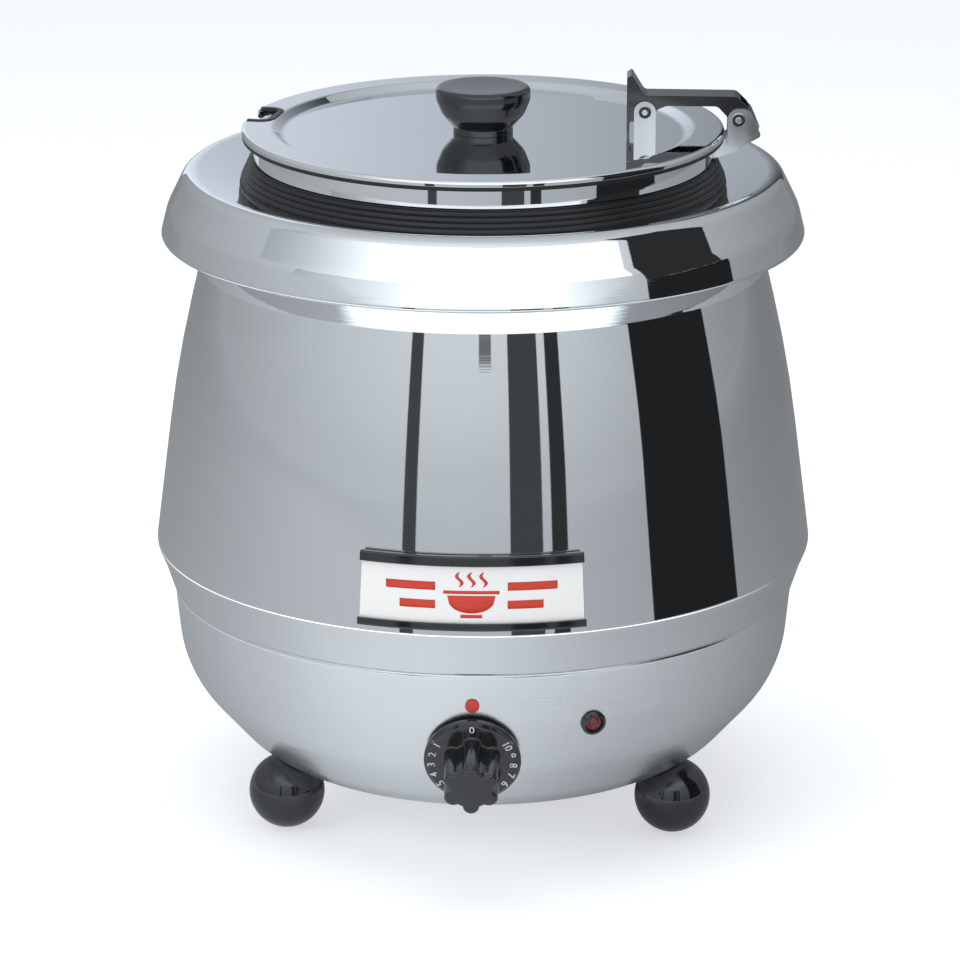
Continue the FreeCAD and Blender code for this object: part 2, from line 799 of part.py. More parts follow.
def rim_clamp():
    """Hinge bracket on the pot's rim: a curved web on the skirt, two ears and a stop bridge."""
    pin_x, pin_z = ARM_PIN
    web_out = POT_RIM_R + CLAMP_WEB
    ear = [
        (web_out - 0.8, CLAMP_LOW_Z, 1.0),
        (pin_x - 3.4, CLAMP_LOW_Z + 3.0, 2.0),
        (pin_x + 11.8, pin_z - 8.5, 1.6),
        (pin_x + EAR_ROUND + 0.2, pin_z + EAR_ROUND + 0.2, 5.6),
        (pin_x - EAR_ROUND, pin_z + EAR_ROUND + 0.2, 5.6),
        (pin_x - EAR_ROUND, CLAMP_HIGH_Z, 1.0),
        (web_out - 0.8, CLAMP_HIGH_Z, 1.0),
    ]
    bridge = [
        (pin_x + 3.0, pin_z - 13.2, 0),
        (pin_x + 11.0, pin_z - 8.7, 0.4),
        (pin_x + 10.2, pin_z - 7.3, 0.4),
        (pin_x + 2.2, pin_z - 11.8, 0),
    ]
    clamp = skirt_band(POT_RIM_R, web_out, EAR_OUT, CLAMP_LOW_Z, CLAMP_HIGH_Z)
    for low in (-EAR_OUT, EAR_IN):
        clamp = clamp.fuse(cross_plate(ear, low, low + EAR_OUT - EAR_IN))
        clamp = clamp.fuse(cross_plate(bridge, -EAR_OUT, EAR_OUT))
    for side in (-1, 1):
        curl = Part.makeCylinder(3.0, EAR_OUT - EAR_IN + 1.2,
                                 V(CLAMP_CURL[0], side * EAR_IN, CLAMP_CURL[1]), V(0, side, 0))
        clamp = clamp.fuse(curl)
    clamp = clamp.cut(rod(0, 0, CLAMP_LOW_Z - 5, CLAMP_HIGH_Z + 5, POT_RIM_R))
    clamp = clamp.removeSplitter().cut(cross_rod(ARM_PIN, 20, ARM_PIN_R))
    clamp = clamp.cut(cross_rod(CLAMP_CURL, 20, 1.9))
    return clamp.cut(clamp_screw_holes())


def clamp_pin():
    return cross_rod(CLAMP_CURL, EAR_OUT + 1.8, 1.9)


def clamp_jaw():
    """Nut plate behind the pot's skirt."""
    inner = POT_RIM_R - POT_WALL - 1.6
    jaw = skirt_band(inner, POT_RIM_R - POT_WALL, 8.0, CLAMP_LOW_Z, CLAMP_HIGH_Z - 2)
    return jaw.cut(clamp_screw_holes())


def clamp_screws():
    screws = []
    web_out = POT_RIM_R + CLAMP_WEB
    for y in CLAMP_SCREW_Y:
        shank = Part.makeCylinder(1.6, web_out - 116.2, V(116.2, y, CLAMP_SCREW_Z), V(1, 0, 0))
        head = Part.makeCylinder(2.6, 1.2, V(web_out, y, CLAMP_SCREW_Z), V(1, 0, 0))
        screws.append(shank.fuse(head).removeSplitter())
    return Part.makeCompound(screws)


NODES = {
    "base_pan": base_pan,
    "bottom_plate": bottom_plate,
    "ball_foot_right": lambda: ball_foot(FOOT_ANGLES[0]),
    "ball_foot_rear": lambda: ball_foot(FOOT_ANGLES[1]),
    "ball_foot_left": lambda: ball_foot(FOOT_ANGLES[2]),
    "foot_studs": foot_studs,
    "outer_body": outer_body,
    "shoulder_collar": shoulder_collar,
    "pot_seat_ring": pot_seat_ring,
    "water_pot": water_pot,
    "heater_plate": heater_plate,
    "heating_element": heating_element,
    "heater_clamp": heater_clamp,
    "heater_nut": heater_nut,
    "tie_rod": tie_rod,
    "tie_washer": tie_washer,
    "tie_nut": tie_nut,
    "thermal_cutout": thermal_cutout,
    "thermostat": thermostat,
    "thermostat_bracket": thermostat_bracket,
    "thermostat_nut": thermostat_nut,
    "thermostat_probe": thermostat_probe,
    "thermostat_shaft": thermostat_shaft,
    "control_dial": control_dial,
    "index_button": index_button,
    "pilot_bezel": pilot_bezel,
    "pilot_lens": pilot_lens,
    "pilot_lamp_body": pilot_lamp_body,
    "pilot_clip": pilot_clip,
    "cord_gland": cord_gland,
    "gland_nut": gland_nut,
    "terminal_block": terminal_block,
    "card_holder": card_holder,
    "holder_pads": holder_pads,
    "menu_card": menu_card,
    "insert_pot": insert_pot,
    "rim_clamp": rim_clamp,
    "clamp_jaw": clamp_jaw,
    "clamp_screws": clamp_screws,
    "clamp_pin": clamp_pin,
    "arm_pin": arm_pin,
    "hinge_arm": hinge_arm,
    "lid": lid,
    "lid_knob": lid_knob,
    "knob_washer": knob_washer,
    "knob_screw": knob_screw,
    "lid_bracket": lid_bracket,
    "bracket_rivets": bracket_rivets,
    "lid_pin": lid_pin,
}

os.makedirs("parts", exist_ok=True)
for name, build in NODES.items():
    shape = build()
    shape.exportStep(f"parts/{name}.step")
    box = shape.BoundBox
    print(f"{name:18s} solids {len(shape.Solids)} valid {shape.isValid()} volume {shape.Volume:10.1f}"
          f"  x {box.XMin:7.1f} {box.XMax:7.1f}  y {box.YMin:7.1f} {box.YMax:7.1f}"
          f"  z {box.ZMin:6.1f} {box.ZMax:6.1f}")
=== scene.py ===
"""Looks of a soup kettle: polished shells, black mouldings, a printed card and a studio stage."""
import json
import math

import bmesh
import bpy
from bpy.props import FloatProperty, FloatVectorProperty, IntProperty, PointerProperty
from mathutils import Matrix, Vector


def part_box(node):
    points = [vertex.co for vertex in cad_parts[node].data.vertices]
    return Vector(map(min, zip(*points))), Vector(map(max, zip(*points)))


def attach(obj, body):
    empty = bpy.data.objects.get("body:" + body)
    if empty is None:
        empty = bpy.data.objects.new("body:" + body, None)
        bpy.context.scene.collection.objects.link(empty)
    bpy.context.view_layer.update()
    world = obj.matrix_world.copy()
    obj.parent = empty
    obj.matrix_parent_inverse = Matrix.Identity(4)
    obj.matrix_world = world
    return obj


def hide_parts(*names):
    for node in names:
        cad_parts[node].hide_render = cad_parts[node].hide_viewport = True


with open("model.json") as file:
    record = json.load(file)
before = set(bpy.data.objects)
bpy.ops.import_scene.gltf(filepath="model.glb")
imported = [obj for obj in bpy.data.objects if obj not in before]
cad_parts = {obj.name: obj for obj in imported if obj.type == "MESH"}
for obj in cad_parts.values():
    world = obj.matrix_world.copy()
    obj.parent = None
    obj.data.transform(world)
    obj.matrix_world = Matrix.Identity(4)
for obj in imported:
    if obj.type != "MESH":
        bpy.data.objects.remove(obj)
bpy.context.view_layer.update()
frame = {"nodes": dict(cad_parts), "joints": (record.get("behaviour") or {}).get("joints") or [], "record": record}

bl_info = {
    "name": "Soup Kettle Looks",
    "version": (1, 0, 0),
    "blender": (4, 5, 0),
    "location": "View3D > Sidebar > Kettle",
    "description": "Builds the visible shells, mouldings, print and stage of a buffet soup kettle",
    "category": "Add Mesh",
}

JOINTS = {joint["name"]: joint for joint in frame["joints"]}
FRONT = math.radians(-90.0)
FOOT_ANGLES = {"right": -30.0, "rear": 90.0, "left": 210.0}
ARC_STEP = math.radians(3.0)
SHARP_EDGE = math.radians(38.0)
BEVEL_EDGE = math.radians(40.0)
ON_AXIS = 1e-6
DIAL_STEPS = 240


def length(name, default, description):
    return FloatProperty(name=name, description=description, default=default, unit="LENGTH")


def number_of(name, default, description):
    return IntProperty(name=name, description=description, default=default)


def corner(name, default, description):
    """Radius, height and corner radius of one point of a turned outline."""
    return FloatVectorProperty(name=name, description=description, default=default, size=3, unit="LENGTH")


def spot(name, default, description):
    """Radius and height of one point."""
    return FloatVectorProperty(name=name, description=description, default=default, size=2, unit="LENGTH")


def angle(name, default, description):
    """Degrees in, radians kept."""
    return FloatProperty(
        name=name, description=description, default=math.radians(default), subtype="ANGLE")


def colour(name, default, description):
    return FloatVectorProperty(
        name=name, description=description, default=default, size=3, subtype="COLOR", min=0, max=1)


def share(name, default, description):
    return FloatProperty(
        name=name, description=description, default=default, subtype="FACTOR", min=0, max=1)


class KettleShells(bpy.types.PropertyGroup):
    """Turned outlines of the pan, body, collar, seat ring and pot."""
    segments: number_of("Segments", 224, "Steps round a turned shell")
    gauge: length("Gauge", 0.0008, "Sheet thickness of the body, pan and lid")
    collar_gauge: length("Collar gauge", 0.001, "Sheet thickness of the shoulder collar")
    pot_gauge: length("Pot gauge", 0.0007, "Sheet thickness of the soup pot")
    seam_z: length("Seam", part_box("outer_body")[0].z, "Height where the body stands on the pan")
    seam_flange: length("Seam flange", 0.008, "Width of the flanges that meet at the seam")
    pan_top_r: length("Pan top radius", 0.1649, "Radius of the pan at the seam")
    pan_knee: corner("Pan knee", (0.1605, 0.0787, 0.060), "Where the pan turns under")
    pan_heel: corner("Pan heel", (0.1241, 0.0369, 0.045), "Where the pan turns to its floor")
    pan_floor: spot("Pan floor", (0.070, 0.0213), "Where the pan's flat floor begins")
    pan_hatch_r: length("Hatch radius", 0.060, "Opening in the pan's floor")
    body_top: spot("Body top", (0.138, 0.3386), "Upper edge of the body")
    body_throat: corner("Body throat", (0.1409, 0.3090, 0.002), "Narrow turn hidden by the collar")
    body_neck: corner("Body neck", (0.14815, 0.2965, 0.002), "Where the body turns in under the collar")
    body_waist: corner("Body waist", (0.1609, 0.2436, 0.650), "Swell of the body's side")
    body_crease: corner("Body crease", (0.1737, 0.1466, 0.007), "Widest ridge of the body")
    body_tuck: corner("Body tuck", (0.1700, 0.1376, 0.020), "Turn below the ridge")
    body_foot_r: length("Body foot radius", 0.1656, "Radius of the body at the seam")
    collar_mouth: spot("Collar mouth", (0.1246, 0.3404), "Inner edge of the collar")
    collar_brow: corner("Collar brow", (0.1543, 0.3477, 0.008), "Crown of the collar")
    collar_cheek: corner("Collar cheek", (0.1648, 0.3265, 0.0306), "Side of the collar")
    collar_edge: corner("Collar edge", (0.1685, 0.3117, 0.002), "Lower edge of the collar")
    collar_inner_r: length("Collar return", 0.1412, "Inner radius of the turned-in edge")
    well_r: length("Well radius", 0.1187, "Inside of the water pot")
    ring_foot: spot("Ring foot", (0.1266, 0.3411), "Outer lower edge of the seat ring")
    ring_crown: spot("Ring crown", (0.1216, 0.3520), "Outer upper edge of the seat ring")
    ring_ribs: number_of("Ring ribs", 4, "Ribs round the seat ring")
    ring_rib_depth: length("Rib depth", 0.0008, "Depth of the grooves in the seat ring")
    pot_r: length("Pot radius", 0.1145, "Inside of the soup pot")
    pot_floor_z: length("Pot floor", 0.115, "Inside floor of the soup pot")
    pot_rim: spot("Pot rim", (0.1196, 0.3664), "Outside and top of the pot's rolled rim")
    foot_r: length("Foot radius", 0.020, "Radius of a ball foot")
    foot_circle_r: length("Foot circle", 0.118, "Radius of the circle that the feet stand on")
    stud_hole_r: length("Stud hole", 0.0032, "Radius of the pan's hole for a foot's stud")


class KettleLid(bpy.types.PropertyGroup):
    """Lid, knob and the pins of its hinge."""
    edge: spot("Lid edge", (0.1254, 0.3646), "Outer radius and lower edge of the lid")
    rim_z: length("Rim height", 0.368, "Top of the lid's raised rim")
    rim_in_r: length("Rim inner radius", 0.1095, "Where the rim turns down to the panel")
    panel: spot("Panel", (0.1045, 0.3644), "Edge and height of the sunken panel")
    notch_angle: angle("Notch angle", 170.0, "Where the ladle notch is")
    notch_width: length("Notch width", 0.028, "Width of the ladle notch")
    notch_in_r: length("Notch depth", 0.1114, "How far in the ladle notch reaches")
    notch_round: length("Notch round", 0.006, "Radius of the notch's inner corners")
    # The black ring under the lid's edge is painted shade: it stands for the shadow in the gap under the lid
    seal: length("Seal", 0.0020, "Height of the black seal under the lid's edge")
    shade_ring_width: length("Shade ring width", 0.0022, "Width of the black seal")
    edging: length("Edging", 0.0034, "Width of the black edging round the notch")
    knob_r: length("Knob radius", 0.0247, "Radius of the knob's crown")
    knob_neck_r: length("Neck radius", 0.0156, "Radius of the knob's foot")
    knob_height: length("Knob height", 0.0243, "Height of the knob above the panel")
    ear_out: length("Ear face", 0.0102, "Outer face of the hinge ears from the middle")
    lid_pin_r: length("Lid pin radius", 0.0020, "Radius of the pin in the lid's clevis")
    arm_pin_r: length("Arm pin radius", 0.0022, "Radius of the pin in the rim clamp")
    pin_head: length("Pin head", 0.0014, "Thickness of a pin's head")
    edge_round: length("Edge round", 0.00035, "Round on the edges of the hinge's plates")


class KettleControls(bpy.types.PropertyGroup):
    """Dial, index button and pilot lamp on the pan, and the pan's holes for them."""
    skirt_r: length("Skirt radius", 0.0246, "Radius of the dial's skirt")
    skirt_back: length("Skirt back", 0.0022, "Back of the skirt from the pan")
    skirt_top: length("Skirt top", 0.0070, "Face of the skirt from the pan")
    grip_tip: length("Grip tip", 0.030, "End of the grip from the pan")
    grip_core_r: length("Grip core", 0.0121, "Radius between the grip's lobes")
    lobe_r: length("Lobe radius", 0.0043, "Radius of one lobe")
    lobe_circle_r: length("Lobe circle", 0.0114, "Radius of the circle of lobes")
    lobes: number_of("Lobes", 6, "Lobes round the grip")
    shaft_hole_r: length("Shaft hole", 0.0052, "Radius of the hole for the dial's shaft")
    numbers: number_of("Numbers", 10, "Highest number on the dial")
    number_height: length("Number height", 0.0042, "Height of a printed number")
    number_circle_r: length("Number circle", 0.0205, "Radius of the circle of numbers")
    first_angle: angle("First number", 58.0, "Angle of the numbers 1 and 10 from the zero")
    number_step: angle("Number step", 17.5, "Angle from one number to the next")
    index_z: length("Index height", 0.107, "Height of the index button")
    index_r: length("Index radius", 0.00365, "Radius of the index button")
    index_stem_r: length("Index stem", 0.0015, "Radius of the index button's stem")
    index_hole_r: length("Index hole", 0.0016, "Radius of the hole for the index button")
    lamp_z: length("Lamp height", 0.094, "Height of the pilot lamp")
    lamp_angle: angle("Lamp angle", -68.0, "Where the pilot lamp is round the pan")
    lamp_r: length("Lamp radius", 0.0065, "Radius of the lamp's bezel")
    lens_r: length("Lens radius", 0.00437, "Radius of the lamp's lens")
    lamp_hole_r: length("Lamp hole", 0.0051, "Radius of the hole for the lamp")
    gland_z: length("Gland height", 0.090, "Height of the cord gland")
    gland_hole_r: length("Gland hole", 0.0081, "Radius of the hole for the cord gland")


class KettleCard(bpy.types.PropertyGroup):
    """Card holder on the body's lower cone, and the print on its card."""
    low_z: length("Holder foot", 0.151, "Lower edge of the holder")
    height: length("Holder height", 0.0378, "Height along the slope")
    span: angle("Holder span", 37.4, "Angle that the holder covers")
    card_play: angle("Card play", 0.4, "How much less of a turn the card covers")
    wall: length("Rail wall", 0.0012, "Thickness of the rails")
    depth: length("Rail depth", 0.0042, "Depth of the rails")
    pad: length("Pad", 0.0012, "Thickness of the tape behind the holder")
    top_lip: length("Top lip", 0.0052, "Height of the upper rail's lip")
    low_lip: length("Lower lip", 0.0040, "Height of the lower rail's lip")
    gap: length("Card gap", 0.0003, "Play of the card in the rails")
    card: length("Card", 0.0012, "Thickness of the card")
    ink: length("Ink", 0.00006, "How far the print stands off the card")
    bowl_width: length("Bowl width", 0.024, "Width of the printed bowl")
    bar_length: length("Bar length", 0.025, "Length of a printed bar")
    bar_height: length("Bar height", 0.0042, "Height of a printed bar")


class KettleFinishes(bpy.types.PropertyGroup):
    """Colours and gloss."""
    steel: colour("Steel", (0.80, 0.81, 0.825), "Polished steel")
    steel_roughness: share("Steel roughness", 0.022, "Blur of the polished steel")
    satin_roughness: share("Satin roughness", 0.20, "Blur of the pan's duller steel")
    plain_steel: colour("Plain steel", (0.62, 0.63, 0.64), "Unpolished steel")
    black: colour("Black", (0.012, 0.013, 0.015), "Glossy black mouldings")
    matte_black: colour("Matte black", (0.016, 0.017, 0.019), "Heat-proof black")
    card: colour("Card", (0.93, 0.93, 0.92), "Card stock")
    print_red: colour("Print", (0.68, 0.045, 0.02), "Ink on the card")
    red: colour("Red", (0.64, 0.042, 0.022), "Index button")
    lens: colour("Lens", (0.13, 0.010, 0.014), "Pilot lens")
    number: colour("Number", (0.72, 0.74, 0.76), "Print on the dial")
    brass: colour("Brass", (0.66, 0.47, 0.24), "Brass and copper")
    aluminium: colour("Aluminium", (0.70, 0.71, 0.72), "Cast heater plate")
    ivory: colour("Ivory", (0.72, 0.69, 0.60), "Terminal block")
    foam: colour("Foam", (0.70, 0.70, 0.68), "Tape pads")


class KettleStage(bpy.types.PropertyGroup):
    """Camera, floor, lamps and the flags and cards that the steel mirrors."""
    camera_distance: length("Camera distance", 2.3, "From the camera to the point that it looks at")
    camera_azimuth: angle("Camera azimuth", 1.9, "How far the camera stands to the right")
    camera_elevation: angle("Camera elevation", 17.14, "How far the camera looks down")
    aim_z: length("Aim height", 0.191, "Height of the point that the camera looks at")
    focal: FloatProperty(name="Focal length", description="Lens in millimetres", default=162.15)
    shift: FloatVectorProperty(
        name="Shift", description="Lens shift that frames the kettle", size=2, default=(-0.003125, -0.03125))
    floor_r: length("Floor radius", 6.0, "Radius of the floor")
    floor: colour("Floor", (0.62, 0.63, 0.65), "Floor as the camera sees it")
    floor_tint: colour("Floor tint", (0.97, 0.985, 1.0), "Light of the floor's own glow")
    floor_glow: share("Floor glow", 0.58, "Strength of the floor's own glow")
    mirrored_floor: colour("Mirrored floor", (0.20, 0.205, 0.21), "Floor as the steel sees it")
    fill: share("Fill", 0.52, "Even light from all round")
    fill_tint: colour("Fill tint", (0.95, 0.98, 1.0), "Light of the fill and the backdrop")
    studio_tint: colour("Studio tint", (0.895, 0.96, 1.0), "Light of the studio that the steel mirrors")
    flag_r: length("Flag radius", 0.8, "Distance of the flags from the kettle")
    card_tint: colour("Card tint", (0.88, 0.95, 1.0), "Light of the flags, the cards and the mirrored floor")
    back_tint: colour("Back card tint", (0.82, 0.90, 1.0), "Light of the card that the lid mirrors")


class KettleSettings(bpy.types.PropertyGroup):
    """All settings of the kettle."""
    shells: PointerProperty(type=KettleShells)
    lid: PointerProperty(type=KettleLid)
    controls: PointerProperty(type=KettleControls)
    card: PointerProperty(type=KettleCard)
    finishes: PointerProperty(type=KettleFinishes)
    stage: PointerProperty(type=KettleStage)


def settings():
    return bpy.context.scene.kettle


# Outlines

def rounded(points, closed=False):
    """Points along an outline of (r, z, corner radius) corners, each corner drawn as an arc."""
    corners = [Vector((r, z)) for r, z, _ in points]
    count = len(points)
    path = []
    for index, (_, _, radius) in enumerate(points):
        here = corners[index]
        inner = closed or 0 < index < count - 1
        if not (radius and inner):
            path.append(here)
            continue
        before = (corners[index - 1] - here).normalized()
        after = (corners[(index + 1) % count] - here).normalized()
        half = before.angle(after) / 2
        reach = radius / math.tan(half)
        centre = here + (before + after).normalized() * (radius / math.sin(half))
        start = here + before * reach - centre
        turn = math.pi - 2 * half
        side = 1 if before.cross(after) < 0 else -1
        steps = max(2, math.ceil(turn / ARC_STEP))
        for step in range(steps + 1):
            path.append(centre + start @ Matrix.Rotation(-side * turn * step / steps, 2))
    return [(point.x, point.y) for point in path]


def offset(points, distance):
    """The outline moved to the left of its direction, with its corner arcs kept concentric."""
    spots = [Vector((r, z)) for r, z, _ in points]
    ways = [(second - first).normalized() for first, second in zip(spots, spots[1:])]
    moved = []
    for index, (r, z, radius) in enumerate(points):
        first = ways[max(index - 1, 0)]
        second = ways[min(index, len(ways) - 1)]
        scale = distance / (1 + first.dot(second))
        turns_left = first.cross(second) > 0
        new_radius = 0
        if radius:
            new_radius = radius - distance if turns_left else radius + distance
        both = first + second
        moved.append((r - both.y * scale, z + both.x * scale, new_radius))
    return moved


def sheet_outline(points, gauge):
    """Closed outline of a sheet, with softened edges where it doesn't end on the axis."""
    near = [tuple(point) for point in points]
    far = offset(near, gauge)
    soft = abs(gauge) * 0.4
    for side in (near, far):
        for index in (0, -1):
            r, z, _ = side[index]
            side[index] = (r, z, soft if r > soft else 0)
    return near + far[::-1]


def polar(r, around, z):
    return r * math.cos(around), r * math.sin(around), z


# Meshes

def with_values(item, values):
    """Sets attributes of a node, modifier or curve."""
    for key, value in values.items():
        setattr(item, key, value)
    return item


def modify(piece, name, kind, **values):
    with_values(piece.modifiers.new(name, kind), values)


def linked(name, data):
    """New object in the scene."""
    made = bpy.data.objects.new(name, data)
    bpy.context.scene.collection.objects.link(made)
    return made


def mesh_piece(name, mesh, body, slot, replaced=None, finish=None, true_flats=False):
    """Piece that rides on a body, smooth except at sharp edges, often in place of a CAD node.

    true_flats keeps flat and straight stretches true next to their rounded corners.
    """
    mesh.shade_smooth()
    mesh.set_sharp_from_angle(angle=SHARP_EDGE)
    piece = linked(name, mesh)
    piece.data.materials.append(finish or finish_of(slot))
    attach(piece, body)
    if true_flats:
        modify(piece, "true_flats", "WEIGHTED_NORMAL", weight=50, keep_sharp=True)
    if replaced:
        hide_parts(replaced)
    return piece


def from_bmesh(name, shape):
    bmesh.ops.recalc_face_normals(shape, faces=shape.faces)
    return raw_mesh(name, shape)


def raw_mesh(name, shape):
    mesh = bpy.data.meshes.new(name)
    shape.to_mesh(mesh)
    shape.free()
    return mesh


def ring_of(shape, radii, z):
    """Ring of vertices at even steps round the axis."""
    step = 2 * math.pi / len(radii)
    return [shape.verts.new(polar(r, step * index, z)) for index, r in enumerate(radii)]


def skin(shape, rows, round_about=True, ends=False):
    """Faces from each row of vertices to the next. A row of one vertex is a point."""
    steps = max(len(row) for row in rows) - (not round_about)
    for low, high in zip(rows, rows[1:]):
        for step in range(steps):
            corners = []
            for row, place in ((low, step), (low, step + 1), (high, step + 1), (high, step)):
                vertex = row[place % len(row)]
                if vertex not in corners:
                    corners.append(vertex)
            if len(corners) > 2:
                shape.faces.new(corners)
    if ends:
        shape.faces.new(rows[0])
        shape.faces.new(rows[-1])


def turned_mesh(name, points, segments=None, closed=True):
    """Outline of (r, z, corner radius) corners turned about Z."""
    segments = segments or settings().shells.segments
    shape = bmesh.new()
    rings = []
    for r, z in rounded(points, closed):
        rings.append(ring_of(shape, [0] if r < ON_AXIS else [r] * segments, z))
    skin(shape, rings + rings[:1] if closed else rings)
    return from_bmesh(name, shape)


def swept_mesh(name, profile, span, steps):
    """Closed (r, z) profile swept round the axis, centred on the front, with flat ends."""
    shape = bmesh.new()
    rings = []
    for step in range(steps + 1):
        around = FRONT - span / 2 + span * step / steps
        rings.append([shape.verts.new(polar(r, around, z)) for r, z in profile])
    skin(shape, rings, ends=True)
    return from_bmesh(name, shape)


def evaluated_mesh(piece):
    """The object's mesh with its modifiers applied or its curve filled."""
    evaluated = piece.evaluated_get(bpy.context.evaluated_depsgraph_get())
    return bpy.data.meshes.new_from_object(evaluated)


def cut_away(mesh, cutter):
    """The mesh less another closed mesh."""
    piece = linked("whole", mesh)
    tool = linked("cutter", cutter)
    modify(piece, "cut", "BOOLEAN", operation="DIFFERENCE", solver="EXACT", object=tool)
    result = evaluated_mesh(piece)
    result.name = mesh.name
    for used in (piece, tool):
        bpy.data.objects.remove(used)
    if not result.polygons:
        raise RuntimeError(f"nothing is left of {result.name} after its cut")
    return result


def moved_mesh(mesh, matrix):
    mesh.transform(matrix)
    return mesh


def merged(name, meshes):
    """One mesh out of several."""
    shape = bmesh.new()
    for mesh in meshes:
        shape.from_mesh(mesh)
    return raw_mesh(name, shape)


# Places on the pan and the body

def pan_outline():
    shells = settings().shells
    floor_r, floor_z = shells.pan_floor
    return [
        (shells.pan_top_r - shells.seam_flange, shells.seam_z, 0),
        (shells.pan_top_r, shells.seam_z, 0.002),
        shells.pan_knee,
        shells.pan_heel,
        (floor_r, floor_z, 0.012),
        (shells.pan_hatch_r, floor_z, 0),
    ]


def pan_place(z, around):
    """Matrix that puts a shape built along +Z on the pan's outside, facing out."""
    path = rounded(pan_outline())
    for (r0, z0), (r1, z1) in zip(path, path[1:]):
        if z1 <= z < z0:
            radius = r0 + (r1 - r0) * (z0 - z) / (z0 - z1)
            tilt = math.atan2(r0 - r1, z0 - z1)
            seat = Matrix.Translation(polar(radius, around, z))
            facing = Matrix.Rotation(around + math.pi / 2, 4, "Z")
            return seat @ facing @ Matrix.Rotation(math.pi / 2 + tilt, 4, "X")
    raise RuntimeError(f"the pan has no wall at height {z}")


def foot_place(side, z):
    """Matrix that puts a shape over a foot's spot, at a height."""
    around = math.radians(FOOT_ANGLES[side])
    return Matrix.Translation(polar(settings().shells.foot_circle_r, around, z))


def dial_place():
    """Matrix that puts a shape built along +Z on the dial's shaft, with +Y up the pan."""
    joint = JOINTS["dial_turn"]
    outward = -Vector(joint["axis"])
    across = Vector((1, 0, 0))
    up = outward.cross(across)
    turn = Matrix((across, up, outward)).transposed().to_4x4()
    return Matrix.Translation(Vector(joint["pos_m"])) @ turn


def cone_point(along, out):
    """(r, z) of a spot on the body's lower cone: so far up the slope, so far off its surface."""
    shells = settings().shells
    low_z = settings().card.low_z
    low = Vector(shells.body_crease[:2])
    run = (Vector(shells.body_waist[:2]) - low).normalized()
    start_r = low.x + (low_z - low.y) * run.x / run.y
    return start_r + along * run.x + out * run.y, low_z + along * run.y - out * run.x


# Shader nodes

def feed(made, inputs):
    """Feeds links, numbers and colours to a node's sockets."""
    for key, value in inputs.items():
        socket = made.inputs[key]
        if isinstance(value, bpy.types.NodeSocket):
            made.id_data.links.new(value, socket)
        else:
            socket.default_value = value


def node(tree, kind, inputs=None, **values):
    """New node with its attributes set and its sockets fed."""
    made = with_values(tree.nodes.new(kind), values)
    feed(made, inputs or {})
    return made


def calc(tree, operation, first, *others):
    """Maths on links and numbers, from left to right."""
    for value in others:
        first = node(tree, "ShaderNodeMath", {0: first, 1: value}, operation=operation).outputs["Value"]
    return first


def along_way(tree, place, way):
    """How far a place lies along a direction."""
    made = node(tree, "ShaderNodeVectorMath", {0: place, 1: way}, operation="DOT_PRODUCT")
    return made.outputs["Value"]


def graded(tree, value, first, last, low, high):
    """The stretch of a value from first to last, mapped to low and high and held beyond them."""
    return node(tree, "ShaderNodeMapRange", {
        "Value": value, "From Min": first, "From Max": last, "To Min": low, "To Max": high,
    }).outputs["Result"]


def spread(tree, value, low, high):
    """The middle stretch of a noise, mapped to low and high."""
    return graded(tree, value, 0.3, 0.7, low, high)


def mixed(tree, kind, factor, first, second):
    return node(
        tree, "ShaderNodeMix", {"Factor": factor, "A": first, "B": second}, data_type=kind).outputs["Result"]


def tint(tree, value, first, second):
    """Colour between two tones, by a noise."""
    return mixed(tree, "RGBA", spread(tree, value, 0, 1), (*first, 1), (*second, 1))


def place_noise(tree, scale, stretch=(1, 1, 1), detail=3.0):
    """Noise fixed to the kettle's own coordinates."""
    where = node(tree, "ShaderNodeTexCoord").outputs["Object"]
    mapping = node(tree, "ShaderNodeMapping", {"Vector": where, "Scale": stretch})
    return node(tree, "ShaderNodeTexNoise", {
        "Vector": mapping.outputs["Vector"], "Scale": scale, "Detail": detail,
    }).outputs["Fac"]


def bump(tree, value, distance, strength, under=None):
    inputs = {"Distance": distance, "Strength": strength, "Height": value}
    if under:
        inputs["Normal"] = under
    return node(tree, "ShaderNodeBump", inputs).outputs["Normal"]


# Finishes

def new_finish(name):
    finish = bpy.data.materials.new(f"{name}_finish")
    finish.use_nodes = True
    tree = finish.node_tree
    return finish, tree, tree.nodes["Principled BSDF"]


def darker(tone, factor):
    return tuple(channel * factor for channel in tone)


def steel_sheet(name, rough):
    """Spun sheet with faint turning lines, slow ripples and handling haze."""
    finish, tree, shader = new_finish(name)
    base = settings().finishes.steel
    haze = place_noise(tree, 9.0, detail=4.0)
    lines = place_noise(tree, 1.0, stretch=(14, 14, 1500), detail=2.0)
    ripple = bump(tree, place_noise(tree, 14.0, stretch=(1, 1, 0.6), detail=1.0), 0.0012, 0.10)
    feed(shader, {
        "Base Color": tint(tree, haze, darker(base, 0.97), base),
        "Metallic": 1.0,
        "Roughness": calc(tree, "ADD", spread(tree, haze, rough * 0.8, rough * 1.3),
                          spread(tree, lines, 0, rough * 0.25)),
        "Normal": bump(tree, lines, 0.00003, 0.25, ripple),
    })
    return finish


def polished_steel():
    return steel_sheet("polished_steel", settings().finishes.steel_roughness)


def satin_steel():
    return steel_sheet("satin_steel", settings().finishes.satin_roughness)


def plain_steel():
    """Rolled or plated steel with a fine directional grain."""
    finish, tree, shader = new_finish("plain_steel")
    base = settings().finishes.plain_steel
    grain = place_noise(tree, 1.0, stretch=(60, 900, 60))
    feed(shader, {
        "Base Color": tint(tree, place_noise(tree, 40.0), darker(base, 0.86), base),
        "Metallic": 1.0,
        "Roughness": spread(tree, grain, 0.16, 0.30),
        "Normal": bump(tree, grain, 0.00004, 0.3),
    })
    return finish


